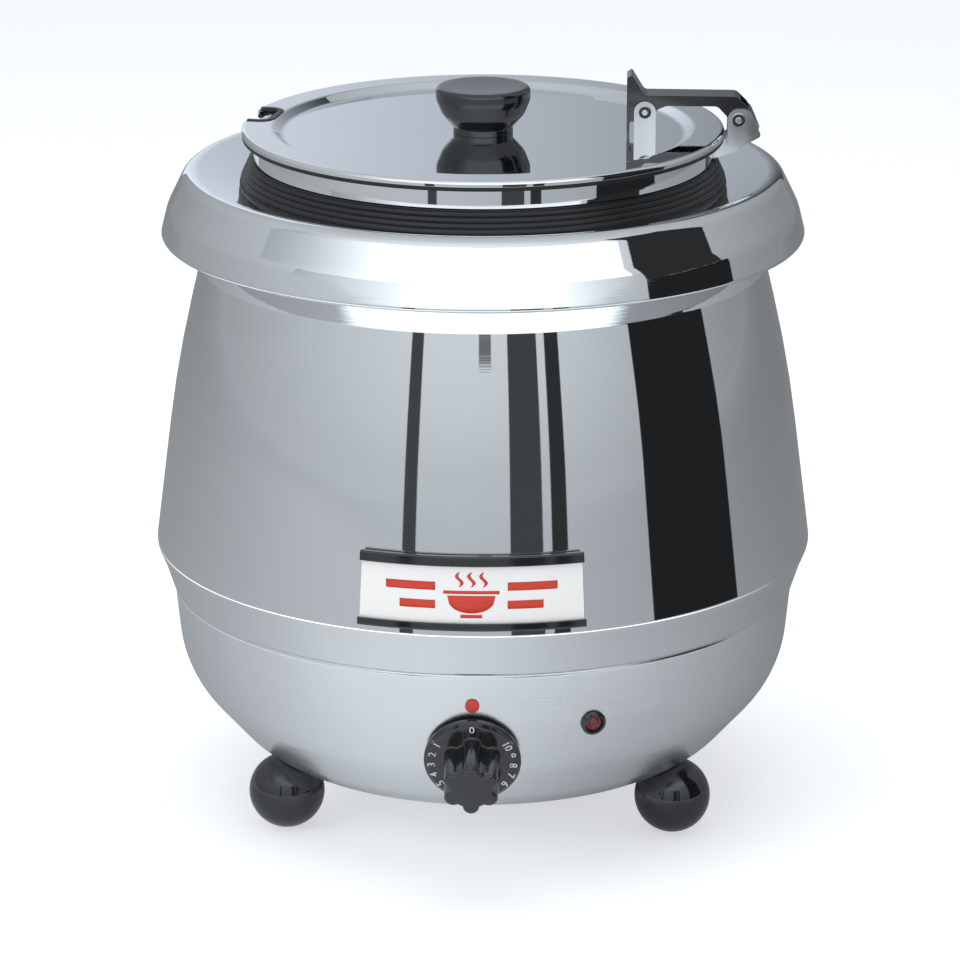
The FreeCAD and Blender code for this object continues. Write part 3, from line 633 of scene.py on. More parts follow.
def bare_brass():
    """Tarnished brass or copper."""
    finish, tree, shader = new_finish("bare_brass")
    base = settings().finishes.brass
    tarnish = place_noise(tree, 60.0)
    feed(shader, {
        "Base Color": tint(tree, tarnish, darker(base, 0.7), base),
        "Metallic": 1.0,
        "Roughness": spread(tree, tarnish, 0.22, 0.4),
    })
    return finish


def cast_aluminium():
    """Dull cast plate."""
    finish, tree, shader = new_finish("cast_aluminium")
    base = settings().finishes.aluminium
    grit = place_noise(tree, 700.0, detail=2.0)
    feed(shader, {
        "Base Color": tint(tree, grit, darker(base, 0.85), base),
        "Metallic": 1.0,
        "Roughness": spread(tree, grit, 0.38, 0.55),
        "Normal": bump(tree, grit, 0.0001, 0.3),
    })
    return finish


def red_lens():
    """Deep red moulded lens with a pebbled inside."""
    finish, tree, shader = new_finish("red_lens")
    base = settings().finishes.lens
    where = node(tree, "ShaderNodeTexCoord").outputs["Object"]
    cells = node(tree, "ShaderNodeTexVoronoi", {"Vector": where, "Scale": 900.0}).outputs["Distance"]
    feed(shader, {
        "Base Color": tint(tree, cells, darker(base, 1.7), darker(base, 0.7)),
        "Roughness": 0.12,
        "Coat Weight": 0.6,
        "Normal": bump(tree, cells, 0.0002, 0.3),
    })
    return finish


def moulding(name, tone, rough, skin_depth, patchy=0.2, specular=0.5):
    """Moulded or printed surface with a soft skin texture and uneven gloss."""
    finish, tree, shader = new_finish(name)
    base = getattr(settings().finishes, tone)
    cloud = place_noise(tree, 30.0)
    feed(shader, {
        "Base Color": tint(tree, cloud, darker(base, 1 - patchy), base),
        "Roughness": spread(tree, cloud, rough * 0.8, rough * 1.3),
        "Specular IOR Level": specular,
        "Normal": bump(tree, place_noise(tree, 420.0, detail=2.0), 0.00005, skin_depth),
    })
    return finish


# Colour setting, blur, depth of the skin, and where needed unevenness and mirror strength
MOULDINGS = {
    "black_gloss": ("black", 0.11, 0.08, 0.2, 0.85),
    "black_matte": ("matte_black", 0.42, 0.25),
    "card_stock": ("card", 0.45, 0.12, 0.03),
    "card_ink": ("print_red", 0.38, 0.10, 0.08),
    "dial_print": ("number", 0.40, 0.10),
    "red_button": ("red", 0.22, 0.08),
    "ivory_block": ("ivory", 0.45, 0.2),
    "foam_tape": ("foam", 0.8, 0.5),
}
OTHER_FINISHES = {
    maker.__name__: maker
    for maker in (polished_steel, satin_steel, plain_steel, bare_brass, cast_aluminium, red_lens)}
SLOT_FINISHES = {
    "polished_steel": "polished_steel",
    "plain_steel": "plain_steel",
    "black_gloss": "black_gloss",
    "black_matte": "black_matte",
    "aluminium": "cast_aluminium",
    "copper_alloy": "bare_brass",
    "white_card": "card_stock",
    "red_lens": "red_lens",
    "red_plastic": "red_button",
    "ivory_plastic": "ivory_block",
    "adhesive_pad": "foam_tape",
}


def finish_named(name):
    """A finish, made once."""
    known = bpy.data.materials.get(f"{name}_finish")
    if known:
        return known
    if name in MOULDINGS:
        return moulding(name, *MOULDINGS[name])
    return OTHER_FINISHES[name]()


def finish_of(slot):
    return finish_named(SLOT_FINISHES[slot])


# Shells

def shell_piece(name, outline, gauge, body, replaced, cutter=None, finish=None):
    """Turned sheet of steel."""
    mesh = turned_mesh(name, sheet_outline(outline, gauge))
    if cutter:
        mesh = cut_away(mesh, cutter)
    mesh_piece(name, mesh, body, "polished_steel", replaced, finish, true_flats=True)


class KETTLE_OT_base_pan(bpy.types.Operator):
    """Dished pan with its holes for the controls, the gland and the foot studs"""
    bl_idname = "kettle.base_pan"
    bl_label = "Base pan"

    def execute(self, context):
        shells = settings().shells
        controls = settings().controls
        holes = [
            hole(controls.shaft_hole_r, dial_place()),
            hole(controls.lamp_hole_r, pan_place(controls.lamp_z, controls.lamp_angle)),
            hole(controls.index_hole_r, pan_place(controls.index_z, FRONT)),
            hole(controls.gland_hole_r, pan_place(controls.gland_z, -FRONT)),
        ]
        stud_z = shells.pan_floor[1] + 0.010
        holes += [hole(shells.stud_hole_r, foot_place(side, stud_z)) for side in FOOT_ANGLES]
        shell_piece("pan_shell", pan_outline(), -shells.gauge, "kettle", "base_pan",
                    merged("pan_holes", holes), finish_named("satin_steel"))
        return {"FINISHED"}


def hole(radius, place, reach=0.012):
    points = [(0, -reach, 0), (radius, -reach, 0), (radius, reach, 0), (0, reach, 0)]
    return moved_mesh(turned_mesh("hole", points, 48, False), place)


class KETTLE_OT_outer_body(bpy.types.Operator):
    """Flared drum with a rolled crease near its foot"""
    bl_idname = "kettle.outer_body"
    bl_label = "Outer body"

    def execute(self, context):
        shells = settings().shells
        top_r, top_z = shells.body_top
        foot_r = shells.body_foot_r
        shell_piece("body_shell", [
            (top_r - shells.seam_flange, top_z, 0),
            (top_r, top_z, 0.004),
            shells.body_throat,
            shells.body_neck,
            shells.body_waist,
            shells.body_crease,
            shells.body_tuck,
            (foot_r, shells.seam_z, 0.0015),
            (foot_r - shells.seam_flange, shells.seam_z, 0),
        ], -shells.gauge, "kettle", "outer_body")
        return {"FINISHED"}


class KETTLE_OT_shoulder_collar(bpy.types.Operator):
    """Rounded shoulder with a dished top and a turned-in lower edge"""
    bl_idname = "kettle.shoulder_collar"
    bl_label = "Shoulder collar"

    def execute(self, context):
        shells = settings().shells
        shell_piece("collar_shell", [
            (*shells.collar_mouth, 0),
            shells.collar_brow,
            shells.collar_cheek,
            shells.collar_edge,
            (shells.collar_inner_r, shells.collar_edge[1], 0),
        ], -shells.collar_gauge, "kettle", "shoulder_collar")
        return {"FINISHED"}


class KETTLE_OT_seat_ring(bpy.types.Operator):
    """Black ring with fine ribs that the soup pot stands on"""
    bl_idname = "kettle.seat_ring"
    bl_label = "Seat ring"

    def execute(self, context):
        shells = settings().shells
        foot = Vector(shells.ring_foot)
        crown = Vector(shells.ring_crown)
        run = crown - foot
        out = Vector((run.y, -run.x)).normalized()
        neck_r = shells.collar_mouth[0] - 0.0002
        base_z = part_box("pot_seat_ring")[0].z
        outline = [(shells.well_r, base_z, 0), (neck_r, base_z, 0), (neck_r, foot.y, 0)]
        steps = shells.ring_ribs * 12
        for step in range(steps + 1):
            part = step / steps
            wave = abs(math.sin(math.pi * shells.ring_ribs * part)) ** 0.7
            rim = foot + run * part - out * (shells.ring_rib_depth * (1 - wave))
            outline.append((rim.x, rim.y, 0))
        outline += [(crown.x - 0.0008, crown.y, 0), (shells.well_r, crown.y, 0)]
        mesh_piece("seat_ring", turned_mesh("seat_ring", outline), "kettle", "black_matte", "pot_seat_ring")
        return {"FINISHED"}


class KETTLE_OT_soup_pot(bpy.types.Operator):
    """Lift-out pot with a rolled rim and a straight skirt"""
    bl_idname = "kettle.soup_pot"
    bl_label = "Soup pot"

    def execute(self, context):
        shells = settings().shells
        rim_r, rim_z = shells.pot_rim
        shell_piece("soup_pot", [
            (rim_r, shells.ring_crown[1] + 0.0003, 0),
            (rim_r, rim_z, 0.002),
            (shells.pot_r, rim_z, 0.002),
            (shells.pot_r, shells.pot_floor_z, 0.014),
            (0, shells.pot_floor_z, 0),
        ], shells.pot_gauge, "pot", "insert_pot")
        return {"FINISHED"}


class KETTLE_OT_ball_feet(bpy.types.Operator):
    """Three glossy balls let into the pan"""
    bl_idname = "kettle.ball_feet"
    bl_label = "Ball feet"

    def execute(self, context):
        shells = settings().shells
        bulk = [(0, shells.seam_z, 0), *pan_outline(), (0, shells.pan_floor[1], 0)]
        for side in FOOT_ANGLES:
            ball = moved_mesh(turned_mesh("ball", ball_outline(), 96, False), foot_place(side, 0))
            cut = cut_away(ball, turned_mesh("pan_bulk", bulk, 192, False))
            mesh_piece(f"foot_{side}", cut, "kettle", "black_gloss", f"ball_foot_{side}")
        return {"FINISHED"}


def ball_outline():
    """Half circle from the small flat under a ball to its top."""
    radius = settings().shells.foot_r
    sunk = 0.0004
    first = math.acos((radius - sunk) / radius)
    points = [(0, 0, 0)]
    steps = 60
    for step in range(steps):
        around = first + (math.pi - first) * step / steps
        points.append((radius * math.sin(around), radius - sunk - radius * math.cos(around), 0))
    return points + [(0, 2 * radius - sunk, 0)]


# Lid and hinge

class KETTLE_OT_lid(bpy.types.Operator):
    """Flat lid with a sunken panel, a raised rim and a ladle notch"""
    bl_idname = "kettle.lid"
    bl_label = "Lid"

    def execute(self, context):
        sizes = settings().lid
        panel_r, panel_z = sizes.panel
        edge_r, edge_z = sizes.edge
        shell_piece("lid_disc", [
            (0, panel_z, 0),
            (panel_r, panel_z, 0.004),
            (sizes.rim_in_r, sizes.rim_z, 0.0035),
            (edge_r, sizes.rim_z, 0.0022),
            (edge_r, edge_z, 0),
        ], -settings().shells.gauge, "lid", "lid", notch_cutter())
        return {"FINISHED"}


def notch_path(far):
    """U of the notch in its own frame, from one side of the lid's edge to the other."""
    sizes = settings().lid
    half = sizes.notch_width / 2
    near = sizes.notch_in_r
    soft = sizes.notch_round
    return rounded([(far, -half, 0), (near, -half, soft), (near, half, soft), (far, half, 0)])


def at_notch(name, shape, rings):
    """Closed mesh through rings of vertices, turned to the notch's place."""
    skin(shape, rings, ends=True)
    return moved_mesh(from_bmesh(name, shape), Matrix.Rotation(settings().lid.notch_angle, 4, "Z"))


def notch_cutter():
    """Upright block with two rounded inner corners."""
    sizes = settings().lid
    path = notch_path(sizes.edge[0] + 0.02)
    shape = bmesh.new()
    rings = []
    for z in (sizes.edge[1] - 0.01, sizes.rim_z + 0.01):
        rings.append([shape.verts.new((x, y, z)) for x, y in path])
    return at_notch("notch", shape, rings)


def edging_mesh():
    """Soft strip pushed on the notch's edge, swept along its U."""
    sizes = settings().lid
    top = sizes.rim_z + 0.0006
    low = sizes.rim_z - settings().shells.gauge - 0.0005
    inner, outer = -0.7 * sizes.edging, 0.3 * sizes.edging
    section = rounded(
        [(inner, low, 0.0004), (outer, low, 0.0004), (outer, top, 0.0008), (inner, top, 0.0008)], closed=True)
    path = [Vector(point) for point in notch_path(sizes.edge[0] - 0.0028)]
    shape = bmesh.new()
    rings = []
    for index, here in enumerate(path):
        run = (path[min(index + 1, len(path) - 1)] - path[max(index - 1, 0)]).normalized()
        side = Vector((-run.y, run.x))
        rings.append([shape.verts.new((*(here - side * across), z)) for across, z in section])
    return at_notch("notch_edging", shape, rings)


class KETTLE_OT_lid_shade_ring_and_edging(bpy.types.Operator):
    """Black ring of painted shade under the lid's edge, standing for the shadow in the gap below it, and black
    edging round the ladle notch
    """
    bl_idname = "kettle.lid_rubbers"
    bl_label = "Lid shade ring and edging"

    def execute(self, context):
        sizes = settings().lid
        edge_r, edge_z = sizes.edge
        outer = edge_r - 0.0001
        inner = outer - sizes.shade_ring_width
        low = edge_z - sizes.seal
        # Black ring under the lid's edge, painted shade for the gap between lid and pot
        seal = turned_mesh("lid_seal", [
            (inner, low, 0.0005), (outer, low, 0.0006), (outer, edge_z, 0.0002), (inner, edge_z, 0.0002)])
        mesh_piece("lid_seal", cut_away(seal, notch_cutter()), "lid", "black_matte")
        mesh_piece("notch_edging", edging_mesh(), "lid", "black_matte")
        return {"FINISHED"}


class KETTLE_OT_lid_knob(bpy.types.Operator):
    """Waisted knob with a shallow dished crown"""
    bl_idname = "kettle.lid_knob"
    bl_label = "Lid knob"

    def execute(self, context):
        sizes = settings().lid
        neck_r, knob_r = sizes.knob_neck_r, sizes.knob_r
        base = sizes.panel[1]
        crown = base + sizes.knob_height
        mesh = turned_mesh("knob", [
            (0, base, 0),
            (neck_r, base, 0.0003),
            (neck_r, base + 0.0032, 0.0014),
            (knob_r - 0.003, base + 0.010, 0.012),
            (knob_r, base + 0.0175, 0.010),
            (knob_r, crown, 0.0026),
            (knob_r - 0.005, crown, 0.004),
            (0, crown - 0.0008, 0),
        ], 128, False)
        mesh_piece("knob", mesh, "lid", "black_gloss", "lid_knob", true_flats=True)
        return {"FINISHED"}


class KETTLE_OT_hinge_pins(bpy.types.Operator):
    """Two riveted pins with ringed heads, and black rings of painted shade in the heads' grooves"""
    bl_idname = "kettle.hinge_pins"
    bl_label = "Hinge pins"

    def execute(self, context):
        sizes = settings().lid
        for name, joint, body, radius in (
                ("lid_pin", "lid_pivot", "lid", sizes.lid_pin_r),
                ("arm_pin", "arm_hinge", "pot", sizes.arm_pin_r)):
            across = Matrix.Rotation(math.pi / 2, 4, "X")
            place = Matrix.Translation(Vector(JOINTS[joint]["pos_m"])) @ across
            pin = moved_mesh(turned_mesh(f"{name}_turned", pin_outline(radius), 64, False), place)
            mesh_piece(f"{name}_turned", pin, body, "plain_steel", name, true_flats=True)
            # Black rings painted as the shade in the grooves of the pins' heads
            groove_shade = moved_mesh(groove_shade_mesh(f"{name}_bushes", radius), place)
            mesh_piece(f"{name}_bushes", groove_shade, body, "black_matte")
        return {"FINISHED"}


def upside_down(outline):
    return [(r, -z, soft) for r, z, soft in reversed(outline)]


def groove_shade_mesh(name, radius):
    """Two black rings of painted shade in the grooves of a pin's heads."""
    top = settings().lid.ear_out + settings().lid.pin_head
    inner, outer = radius * 0.90, radius + 0.0010
    low, high = top - 0.0010, top - 0.0001
    near = [(inner, low, 0), (outer, low, 0), (outer, high, 0.0002), (inner, high, 0.0002)]
    return merged(name, [turned_mesh(name, outline, 64) for outline in (near, upside_down(near))])


def pin_outline(radius):
    """Shank and two heads, each head a raised button inside a ring."""
    face = settings().lid.ear_out
    top = face + settings().lid.pin_head
    head = radius + 0.00135
    button = radius * 0.84
    groove_z = top - 0.0008
    half = [
        (0, top, 0),
        (button, top, 0.0005),
        (button, groove_z, 0),
        (head - 0.0003, groove_z, 0),
        (head - 0.0003, top - 0.0003, 0.0001),
        (head, top - 0.0004, 0.0002),
        (head, face, 0.0001),
        (radius, face, 0),
    ]
    return half + upside_down(half)


class KETTLE_OT_hinge_plates(bpy.types.Operator):
    """Rounded edges on the arm, the clevis, the rim clamp and their fasteners"""
    bl_idname = "kettle.hinge_plates"
    bl_label = "Hinge plates"

    def execute(self, context):
        width = settings().lid.edge_round
        for name in ("hinge_arm", "lid_bracket", "rim_clamp", "clamp_pin", "clamp_screws", "bracket_rivets"):
            modify(frame["nodes"][name], "soft_edges", "BEVEL",
                   width=width if name != "hinge_arm" else 2 * width, segments=2,
                   limit_method="ANGLE", angle_limit=BEVEL_EDGE, harden_normals=True)
        return {"FINISHED"}


# Controls

class KETTLE_OT_control_dial(bpy.types.Operator):
    """Skirted dial with a lobed grip"""
    bl_idname = "kettle.control_dial"
    bl_label = "Control dial"

    def execute(self, context):
        mesh = moved_mesh(dial_mesh(), dial_place())
        mesh_piece("dial", mesh, "dial", "black_gloss", "control_dial")
        return {"FINISHED"}


def grip_radius(around):
    """Radius of the lobed grip at an angle, with rounded valleys."""
    controls = settings().controls
    pitch = 2 * math.pi / controls.lobes
    off = (around - math.pi / 2 + pitch / 2) % pitch - pitch / 2
    reach = controls.lobe_circle_r * math.sin(off)
    lobe = 0
    if abs(reach) < controls.lobe_r:
        lobe = controls.lobe_circle_r * math.cos(off) + math.sqrt(controls.lobe_r ** 2 - reach ** 2)
    blend = 18
    return (controls.grip_core_r ** blend + lobe ** blend) ** (1 / blend)


def grip_rows():
    """How far each row of the grip stands out from its lobes, and its height."""
    controls = settings().controls
    tip_round, foot_round, side = 0.0022, 0.0012, 0.018
    foot_z = controls.skirt_top + foot_round
    tip_z = controls.grip_tip - tip_round
    rows = []
    for step in range(7):
        around = math.pi / 2 * step / 6
        rows.append((foot_round * (1 - math.sin(around)), foot_z - foot_round * math.cos(around)))
    rows += [(-0.0007 * step / 8, foot_z + side * step / 8) for step in range(1, 8)]
    for step in range(9):
        around = math.pi / 2 * step / 8
        rows.append((-0.0008 - tip_round * (1 - math.cos(around)), tip_z + tip_round * math.sin(around)))
    return rows


def dial_mesh():
    """Rings from the skirt's back, over its face, up the lobed grip to the domed tip."""
    controls = settings().controls
    skirt_r, back, face = controls.skirt_r, controls.skirt_back, controls.skirt_top
    dome = 0.0006
    skirt = rounded([
        (0.004, back, 0),
        (skirt_r, back, 0.0008),
        (skirt_r, back + 0.0026, 0.0012),
        (skirt_r - 0.0022, face - 0.0006, 0.002),
        (controls.grip_core_r + 0.0062, face - 0.0002, 0),
    ])
    lobes = [grip_radius(2 * math.pi * step / DIAL_STEPS) for step in range(DIAL_STEPS)]
    rows = grip_rows()
    last = rows[-1][0]
    shape = bmesh.new()
    rings = [ring_of(shape, [r] * DIAL_STEPS, z) for r, z in skirt]
    rings += [ring_of(shape, [r + grow for r in lobes], z) for grow, z in rows]
    for part in (0.75, 0.5, 0.25):
        rings.append(ring_of(shape, [(r + last) * part for r in lobes], controls.grip_tip + dome * (1 - part)))
    rings.append(ring_of(shape, [0], controls.grip_tip + dome))
    skin(shape, rings)
    shape.faces.new(rings[0])
    return from_bmesh("dial", shape)


class KETTLE_OT_dial_numbers(bpy.types.Operator):
    """Plain numbers printed round the dial's skirt"""
    bl_idname = "kettle.dial_numbers"
    bl_label = "Dial numbers"

    def execute(self, context):
        controls = settings().controls
        meshes = [number_mesh("0", 0)]
        for place in range(controls.numbers // 2):
            around = controls.first_angle + controls.number_step * place
            meshes.append(number_mesh(str(1 + place), around))
            meshes.append(number_mesh(str(controls.numbers - place), -around))
        mesh = moved_mesh(merged("dial_numbers", meshes), dial_place())
        if not mesh.polygons:
            raise RuntimeError("the dial's numbers came out empty")
        mesh_piece("dial_numbers", mesh, "dial", "white_card", finish=finish_named("dial_print"))
        return {"FINISHED"}


def number_mesh(text, around):
    """Thin raised print of a number on the skirt, its head outward."""
    controls = settings().controls
    writing = linked("number", with_values(bpy.data.curves.new("number", "FONT"), {
        "body": text, "size": controls.number_height * 1.35, "align_x": "CENTER", "align_y": "CENTER",
        "extrude": 0.00008, "offset": 0.00006}))
    mesh = evaluated_mesh(writing)
    bpy.data.objects.remove(writing)
    place = Matrix.Translation((0, controls.number_circle_r, controls.skirt_top - 0.00035))
    return moved_mesh(mesh, Matrix.Rotation(around, 4, "Z") @ place)


class KETTLE_OT_index_button(bpy.types.Operator):
    """Red marker button above the dial"""
    bl_idname = "kettle.index_button"
    bl_label = "Index button"

    def execute(self, context):
        controls = settings().controls
        stem_r, cap_r = controls.index_stem_r, controls.index_r
        mesh = turned_mesh("index_cap", [
            (0, -0.006, 0),
            (stem_r, -0.006, 0),
            (stem_r, 0.00005, 0),
            (cap_r, 0.00005, 0.0002),
            (cap_r, 0.0011, 0.0006),
            (0, 0.0015, 0),
        ], 64, False)
        moved_mesh(mesh, pan_place(controls.index_z, FRONT))
        mesh_piece("index_cap", mesh, "kettle", "red_plastic", "index_button")
        return {"FINISHED"}


class KETTLE_OT_pilot_lamp(bpy.types.Operator):
    """Dark bezel, and a red lens with two raised rings round a domed middle"""
    bl_idname = "kettle.pilot_lamp"
    bl_label = "Pilot lamp"

    def execute(self, context):
        controls = settings().controls
        place = pan_place(controls.lamp_z, controls.lamp_angle)
        inner, outer, rim = 0.0044, 0.0050, controls.lamp_r
        bezel = turned_mesh("lamp_bezel", [
            (inner, -0.014, 0),
            (outer, -0.014, 0),
            (outer, 0.0003, 0),
            (rim, 0.0003, 0.0002),
            (rim, 0.0016, 0.0009),
            (outer, 0.0027, 0.0004),
            (inner, 0.0014, 0),
        ], 96)
        mesh_piece("lamp_bezel", moved_mesh(bezel, place), "kettle", "black_gloss", "pilot_bezel")
        radius = controls.lens_r
        lens = turned_mesh("lamp_lens", [
            (0, -0.006, 0),
            (radius, -0.006, 0),
            (radius, 0.0008, 0.0003),
            (radius * 0.80, 0.0012, 0.0003),
            (radius * 0.68, 0.0009, 0.0002),
            (radius * 0.55, 0.0015, 0.0003),
            (0, 0.0019, 0),
        ], 96, False)
        mesh_piece("lamp_lens", moved_mesh(lens, place), "kettle", "red_lens", "pilot_lens")
        return {"FINISHED"}


# Card

def cone_strip(name, corners, span, steps):
    """Strip bent round the body's lower cone, from (along, out, corner radius) corners."""
    profile = [cone_point(along, out) for along, out in rounded(corners, closed=True)]
    return swept_mesh(name, profile, span, steps)


class KETTLE_OT_card_holder(bpy.types.Operator):
    """Curved pair of rails on one back plate"""
    bl_idname = "kettle.card_holder"
    bl_label = "Card holder"

    def execute(self, context):
        sizes = settings().card
        wall, top, back = sizes.wall, sizes.height, sizes.pad
        front = back + sizes.depth
        lip = front - wall
        face = back + wall
        top_lip = top - sizes.top_lip
        soft = wall * 0.42
        mesh = cone_strip("card_rails", [
            (0, back, soft), (top, back, soft), (top, front, 2 * soft), (top_lip, front, soft),
            (top_lip, lip, soft), (top - wall, lip, 0), (top - wall, face, 0),
            (wall, face, 0), (wall, lip, 0), (sizes.low_lip, lip, soft),
            (sizes.low_lip, front, soft), (0, front, 2 * soft),
        ], sizes.span, 48)
        mesh_piece("card_rails", mesh, "kettle", "black_gloss", "card_holder")
        return {"FINISHED"}


class KETTLE_OT_menu_card(bpy.types.Operator):
    """Bent card with a printed bowl between plain bars"""
    bl_idname = "kettle.menu_card"
    bl_label = "Menu card"

    def execute(self, context):
        sizes = settings().card
        low = sizes.wall + sizes.gap
        high = sizes.height - low
        back = sizes.pad + low
        front = back + sizes.card
        soft = sizes.card * 0.3
        corners = [(low, back, soft), (high, back, soft), (high, front, soft), (low, front, soft)]
        sheet = cone_strip("card_sheet", corners, sizes.span - sizes.card_play, 64)
        mesh_piece("card_sheet", sheet, "card", "white_card", "menu_card")
        ink = mesh_piece("card_print", print_mesh(), "card", "white_card", finish=finish_named("card_ink"))
        modify(ink, "ink_layer", "SOLIDIFY", thickness=sizes.ink / 2, offset=0)
        return {"FINISHED"}


def card_point(across, up):
    """Point on the card's face: so far to the right of its middle, so far up the slope."""
    sizes = settings().card
    out = sizes.pad + sizes.wall + sizes.gap + sizes.card + sizes.ink
    middle = (sizes.height + sizes.low_lip - sizes.top_lip) / 2
    r, z = cone_point(middle + up, out)
    return polar(r, FRONT + across / r, z)


def ribbon(shape, *rows):
    """Strip of faces between two rows of (across, up) points on the card."""
    skin(shape, [[shape.verts.new(card_point(*place)) for place in row] for row in rows], round_about=False)


def bar(shape, left, right, middle, height):
    """Straight printed bar."""
    steps = 16
    row = [left + (right - left) * step / steps for step in range(steps + 1)]
    ribbon(shape, [(x, middle - height / 2) for x in row], [(x, middle + height / 2) for x in row])


def print_mesh():
    """A steaming bowl, with two bars on each side of it."""
    sizes = settings().card
    shape = bmesh.new()
    half = sizes.bowl_width / 2
    deep = half * 0.74
    line = half * 0.14
    steps = 24
    level = -0.0004
    brim, base = [], []
    for step in range(steps + 1):
        across = half * (2 * step / steps - 1)
        brim.append((across, level))
        base.append((across, level - deep * math.sqrt(max(0.0, 1 - (across / half) ** 2)) ** 0.8))
    ribbon(shape, base, brim)
    bar(shape, -half * 1.16, half * 1.16, level + line, line)
    bar(shape, -half * 0.45, half * 0.45, level - deep - line * 0.9, line)
    for across in (-half / 2, 0, half / 2):
        left, right = [], []
        for step in range(13):
            part = step / 12
            sway = half * 0.11 * math.sin(2 * math.pi * part)
            thick = line * 0.62 * math.sin(math.pi * (0.12 + 0.76 * part))
            up = level + line * 2.6 + half * 0.62 * part
            left.append((across + sway - thick, up))
            right.append((across + sway + thick, up))
        ribbon(shape, left, right)
    inner = half * 1.5
    for side in (-1, 1):
        for row, reach in ((0.0042, 1.0), (-0.0050, 0.72)):
            ends = sorted((side * inner, side * (inner + sizes.bar_length * reach)))
            bar(shape, *ends, row, sizes.bar_height)
    return from_bmesh("card_print", shape)


# Carried-over pieces

class KETTLE_OT_inner_works(bpy.types.Operator):
    """Finishes of every piece that keeps its own solid"""
    bl_idname = "kettle.inner_works"
    bl_label = "Inner works"

    def execute(self, context):
        for part in frame["record"]["subparts"]:
            piece = frame["nodes"][part["node"]]
            piece.data.materials.clear()
            piece.data.materials.append(finish_of(part["material_slot"]))
        return {"FINISHED"}


# Stage

class KETTLE_OT_stage(bpy.types.Operator):
    """White floor, soft lamps, dark flags, bright cards and the camera"""
    bl_idname = "kettle.stage"
    bl_label = "Stage"

    def execute(self, context):
        make_floor()
        make_flags()
        make_lamps()
        make_world()
        make_camera()
        context.scene.view_settings.view_transform = "Standard"
        return {"FINISHED"}


def stage_piece(name, mesh, finish):
    piece = linked(name, mesh)
    piece.data.materials.append(finish)
    return piece


def bare_tree(owner):
    """The emptied node tree of a material or world."""
    owner.use_nodes = True
    owner.node_tree.nodes.clear()
    return owner.node_tree


def seen_from(tree, *kinds):
    """1 for rays of these kinds, 0 for others."""
    path = node(tree, "ShaderNodeLightPath").outputs
    return calc(tree, "MAXIMUM", *(path[kind] for kind in kinds))


def glow(tree, shade, strength):
    made = node(tree, "ShaderNodeEmission", {"Color": (*shade, 1), "Strength": strength})
    return made.outputs["Emission"]


def glowing_matte(tree, tone, shade, strength):
    """Matte surface with a glow of its own."""
    matte = node(tree, "ShaderNodeBsdfDiffuse", {"Color": (*tone, 1)}).outputs["BSDF"]
    return node(tree, "ShaderNodeAddShader", {0: matte, 1: glow(tree, shade, strength)}).outputs["Shader"]


def make_floor():
    """White floor that keeps the kettle's shadow, and that the steel mirrors a little darker."""
    stage = settings().stage
    shape = bmesh.new()
    bmesh.ops.create_circle(shape, cap_ends=True, radius=stage.floor_r, segments=96)
    finish = bpy.data.materials.new("floor")
    tree = bare_tree(finish)
    surface = node(tree, "ShaderNodeMixShader", {
        "Fac": seen_from(tree, "Is Glossy Ray"),
        1: glowing_matte(tree, stage.floor, stage.floor_tint, stage.floor_glow),
        2: glowing_matte(tree, stage.mirrored_floor, stage.card_tint, floor_tone(tree)),
    })
    node(tree, "ShaderNodeOutputMaterial", {"Surface": surface.outputs["Shader"]})
    stage_piece("floor", from_bmesh("floor", shape), finish)


def floor_tone(tree):
    """Brightness of the mirrored floor: a pool in front, a shade below the pan and a bright ring."""
    where = node(tree, "ShaderNodeTexCoord").outputs["Object"]
    away = node(tree, "ShaderNodeVectorMath", {0: where}, operation="LENGTH").outputs["Value"]
    way = node(tree, "ShaderNodeVectorMath", {0: where}, operation="NORMALIZE").outputs["Vector"]
    ahead = along_way(tree, way, (-0.309, -0.951, 0))
    facing = graded(tree, ahead, -1.0, 1.0, 0.083, 0.415)
    beam = calc(tree, "POWER", calc(tree, "MAXIMUM", ahead, 0.0), 4.0)
    pool = calc(tree, "MULTIPLY", beam, graded(tree, away, 0.35, 0.90, 0.245, 0.0))
    far = graded(tree, away, 1.2, 5.5, 0.0, 0.115)
    under_pan = graded(tree, away, 0.100, 0.140, 0.62, 1.0)
    level = calc(tree, "MULTIPLY", calc(tree, "ADD", facing, pool, far), under_pan)
    ring_inside = graded(tree, away, 0.445, 0.465, 0.0, 1.0)
    ring_outside = graded(tree, away, 0.535, 0.570, 1.0, 0.0)
    ring_ahead = graded(tree, ahead, -0.6, 0.3, 0.0, 1.7)
    ring = calc(tree, "MULTIPLY", ring_inside, ring_outside, ring_ahead)
    return calc(tree, "ADD", level, ring)


# Name, angles to the right of the front, heights, and brightness from left to right
FLAGS = (
    ("flag_left", (-23.2, -19.0), (0.0, 0.436), (0.07, 0.07)),
    ("flag_short", (0.4, 4.6), (0.398, 0.436), (0.19, 0.19)),
    ("flag_middle", (10.3, 20.6), (0.0, 0.436), (0.065, 0.065)),
    ("flag_right", (23.4, 28.4), (0.0, 0.436), (0.035, 0.035)),
    ("flag_broad", (55.5, 90.0), (0.0, 0.436), (0.018, 0.018)),
    ("flag_high", (55.5, 87.0), (0.438, 1.2), (0.03, 0.03)),
    ("card_low", (-24.0, 28.0), (0.438, 0.56), (1.45, 1.45)),
    ("card_low_left", (-62.0, -24.0), (0.438, 0.56), (0.56, 1.35)),
    ("card_low_right", (28.0, 55.0), (0.438, 0.56), (1.35, 0.60)),
    ("card_front", (-40.0, 52.0), (0.56, 1.0), (1.45, 1.45)),
    ("card_side", (-80.0, -40.0), (0.56, 1.0), (0.52, 1.35)),
    ("card_back", (150.0, 210.0), (0.30, 1.1), (1.10, 0.05)),
)


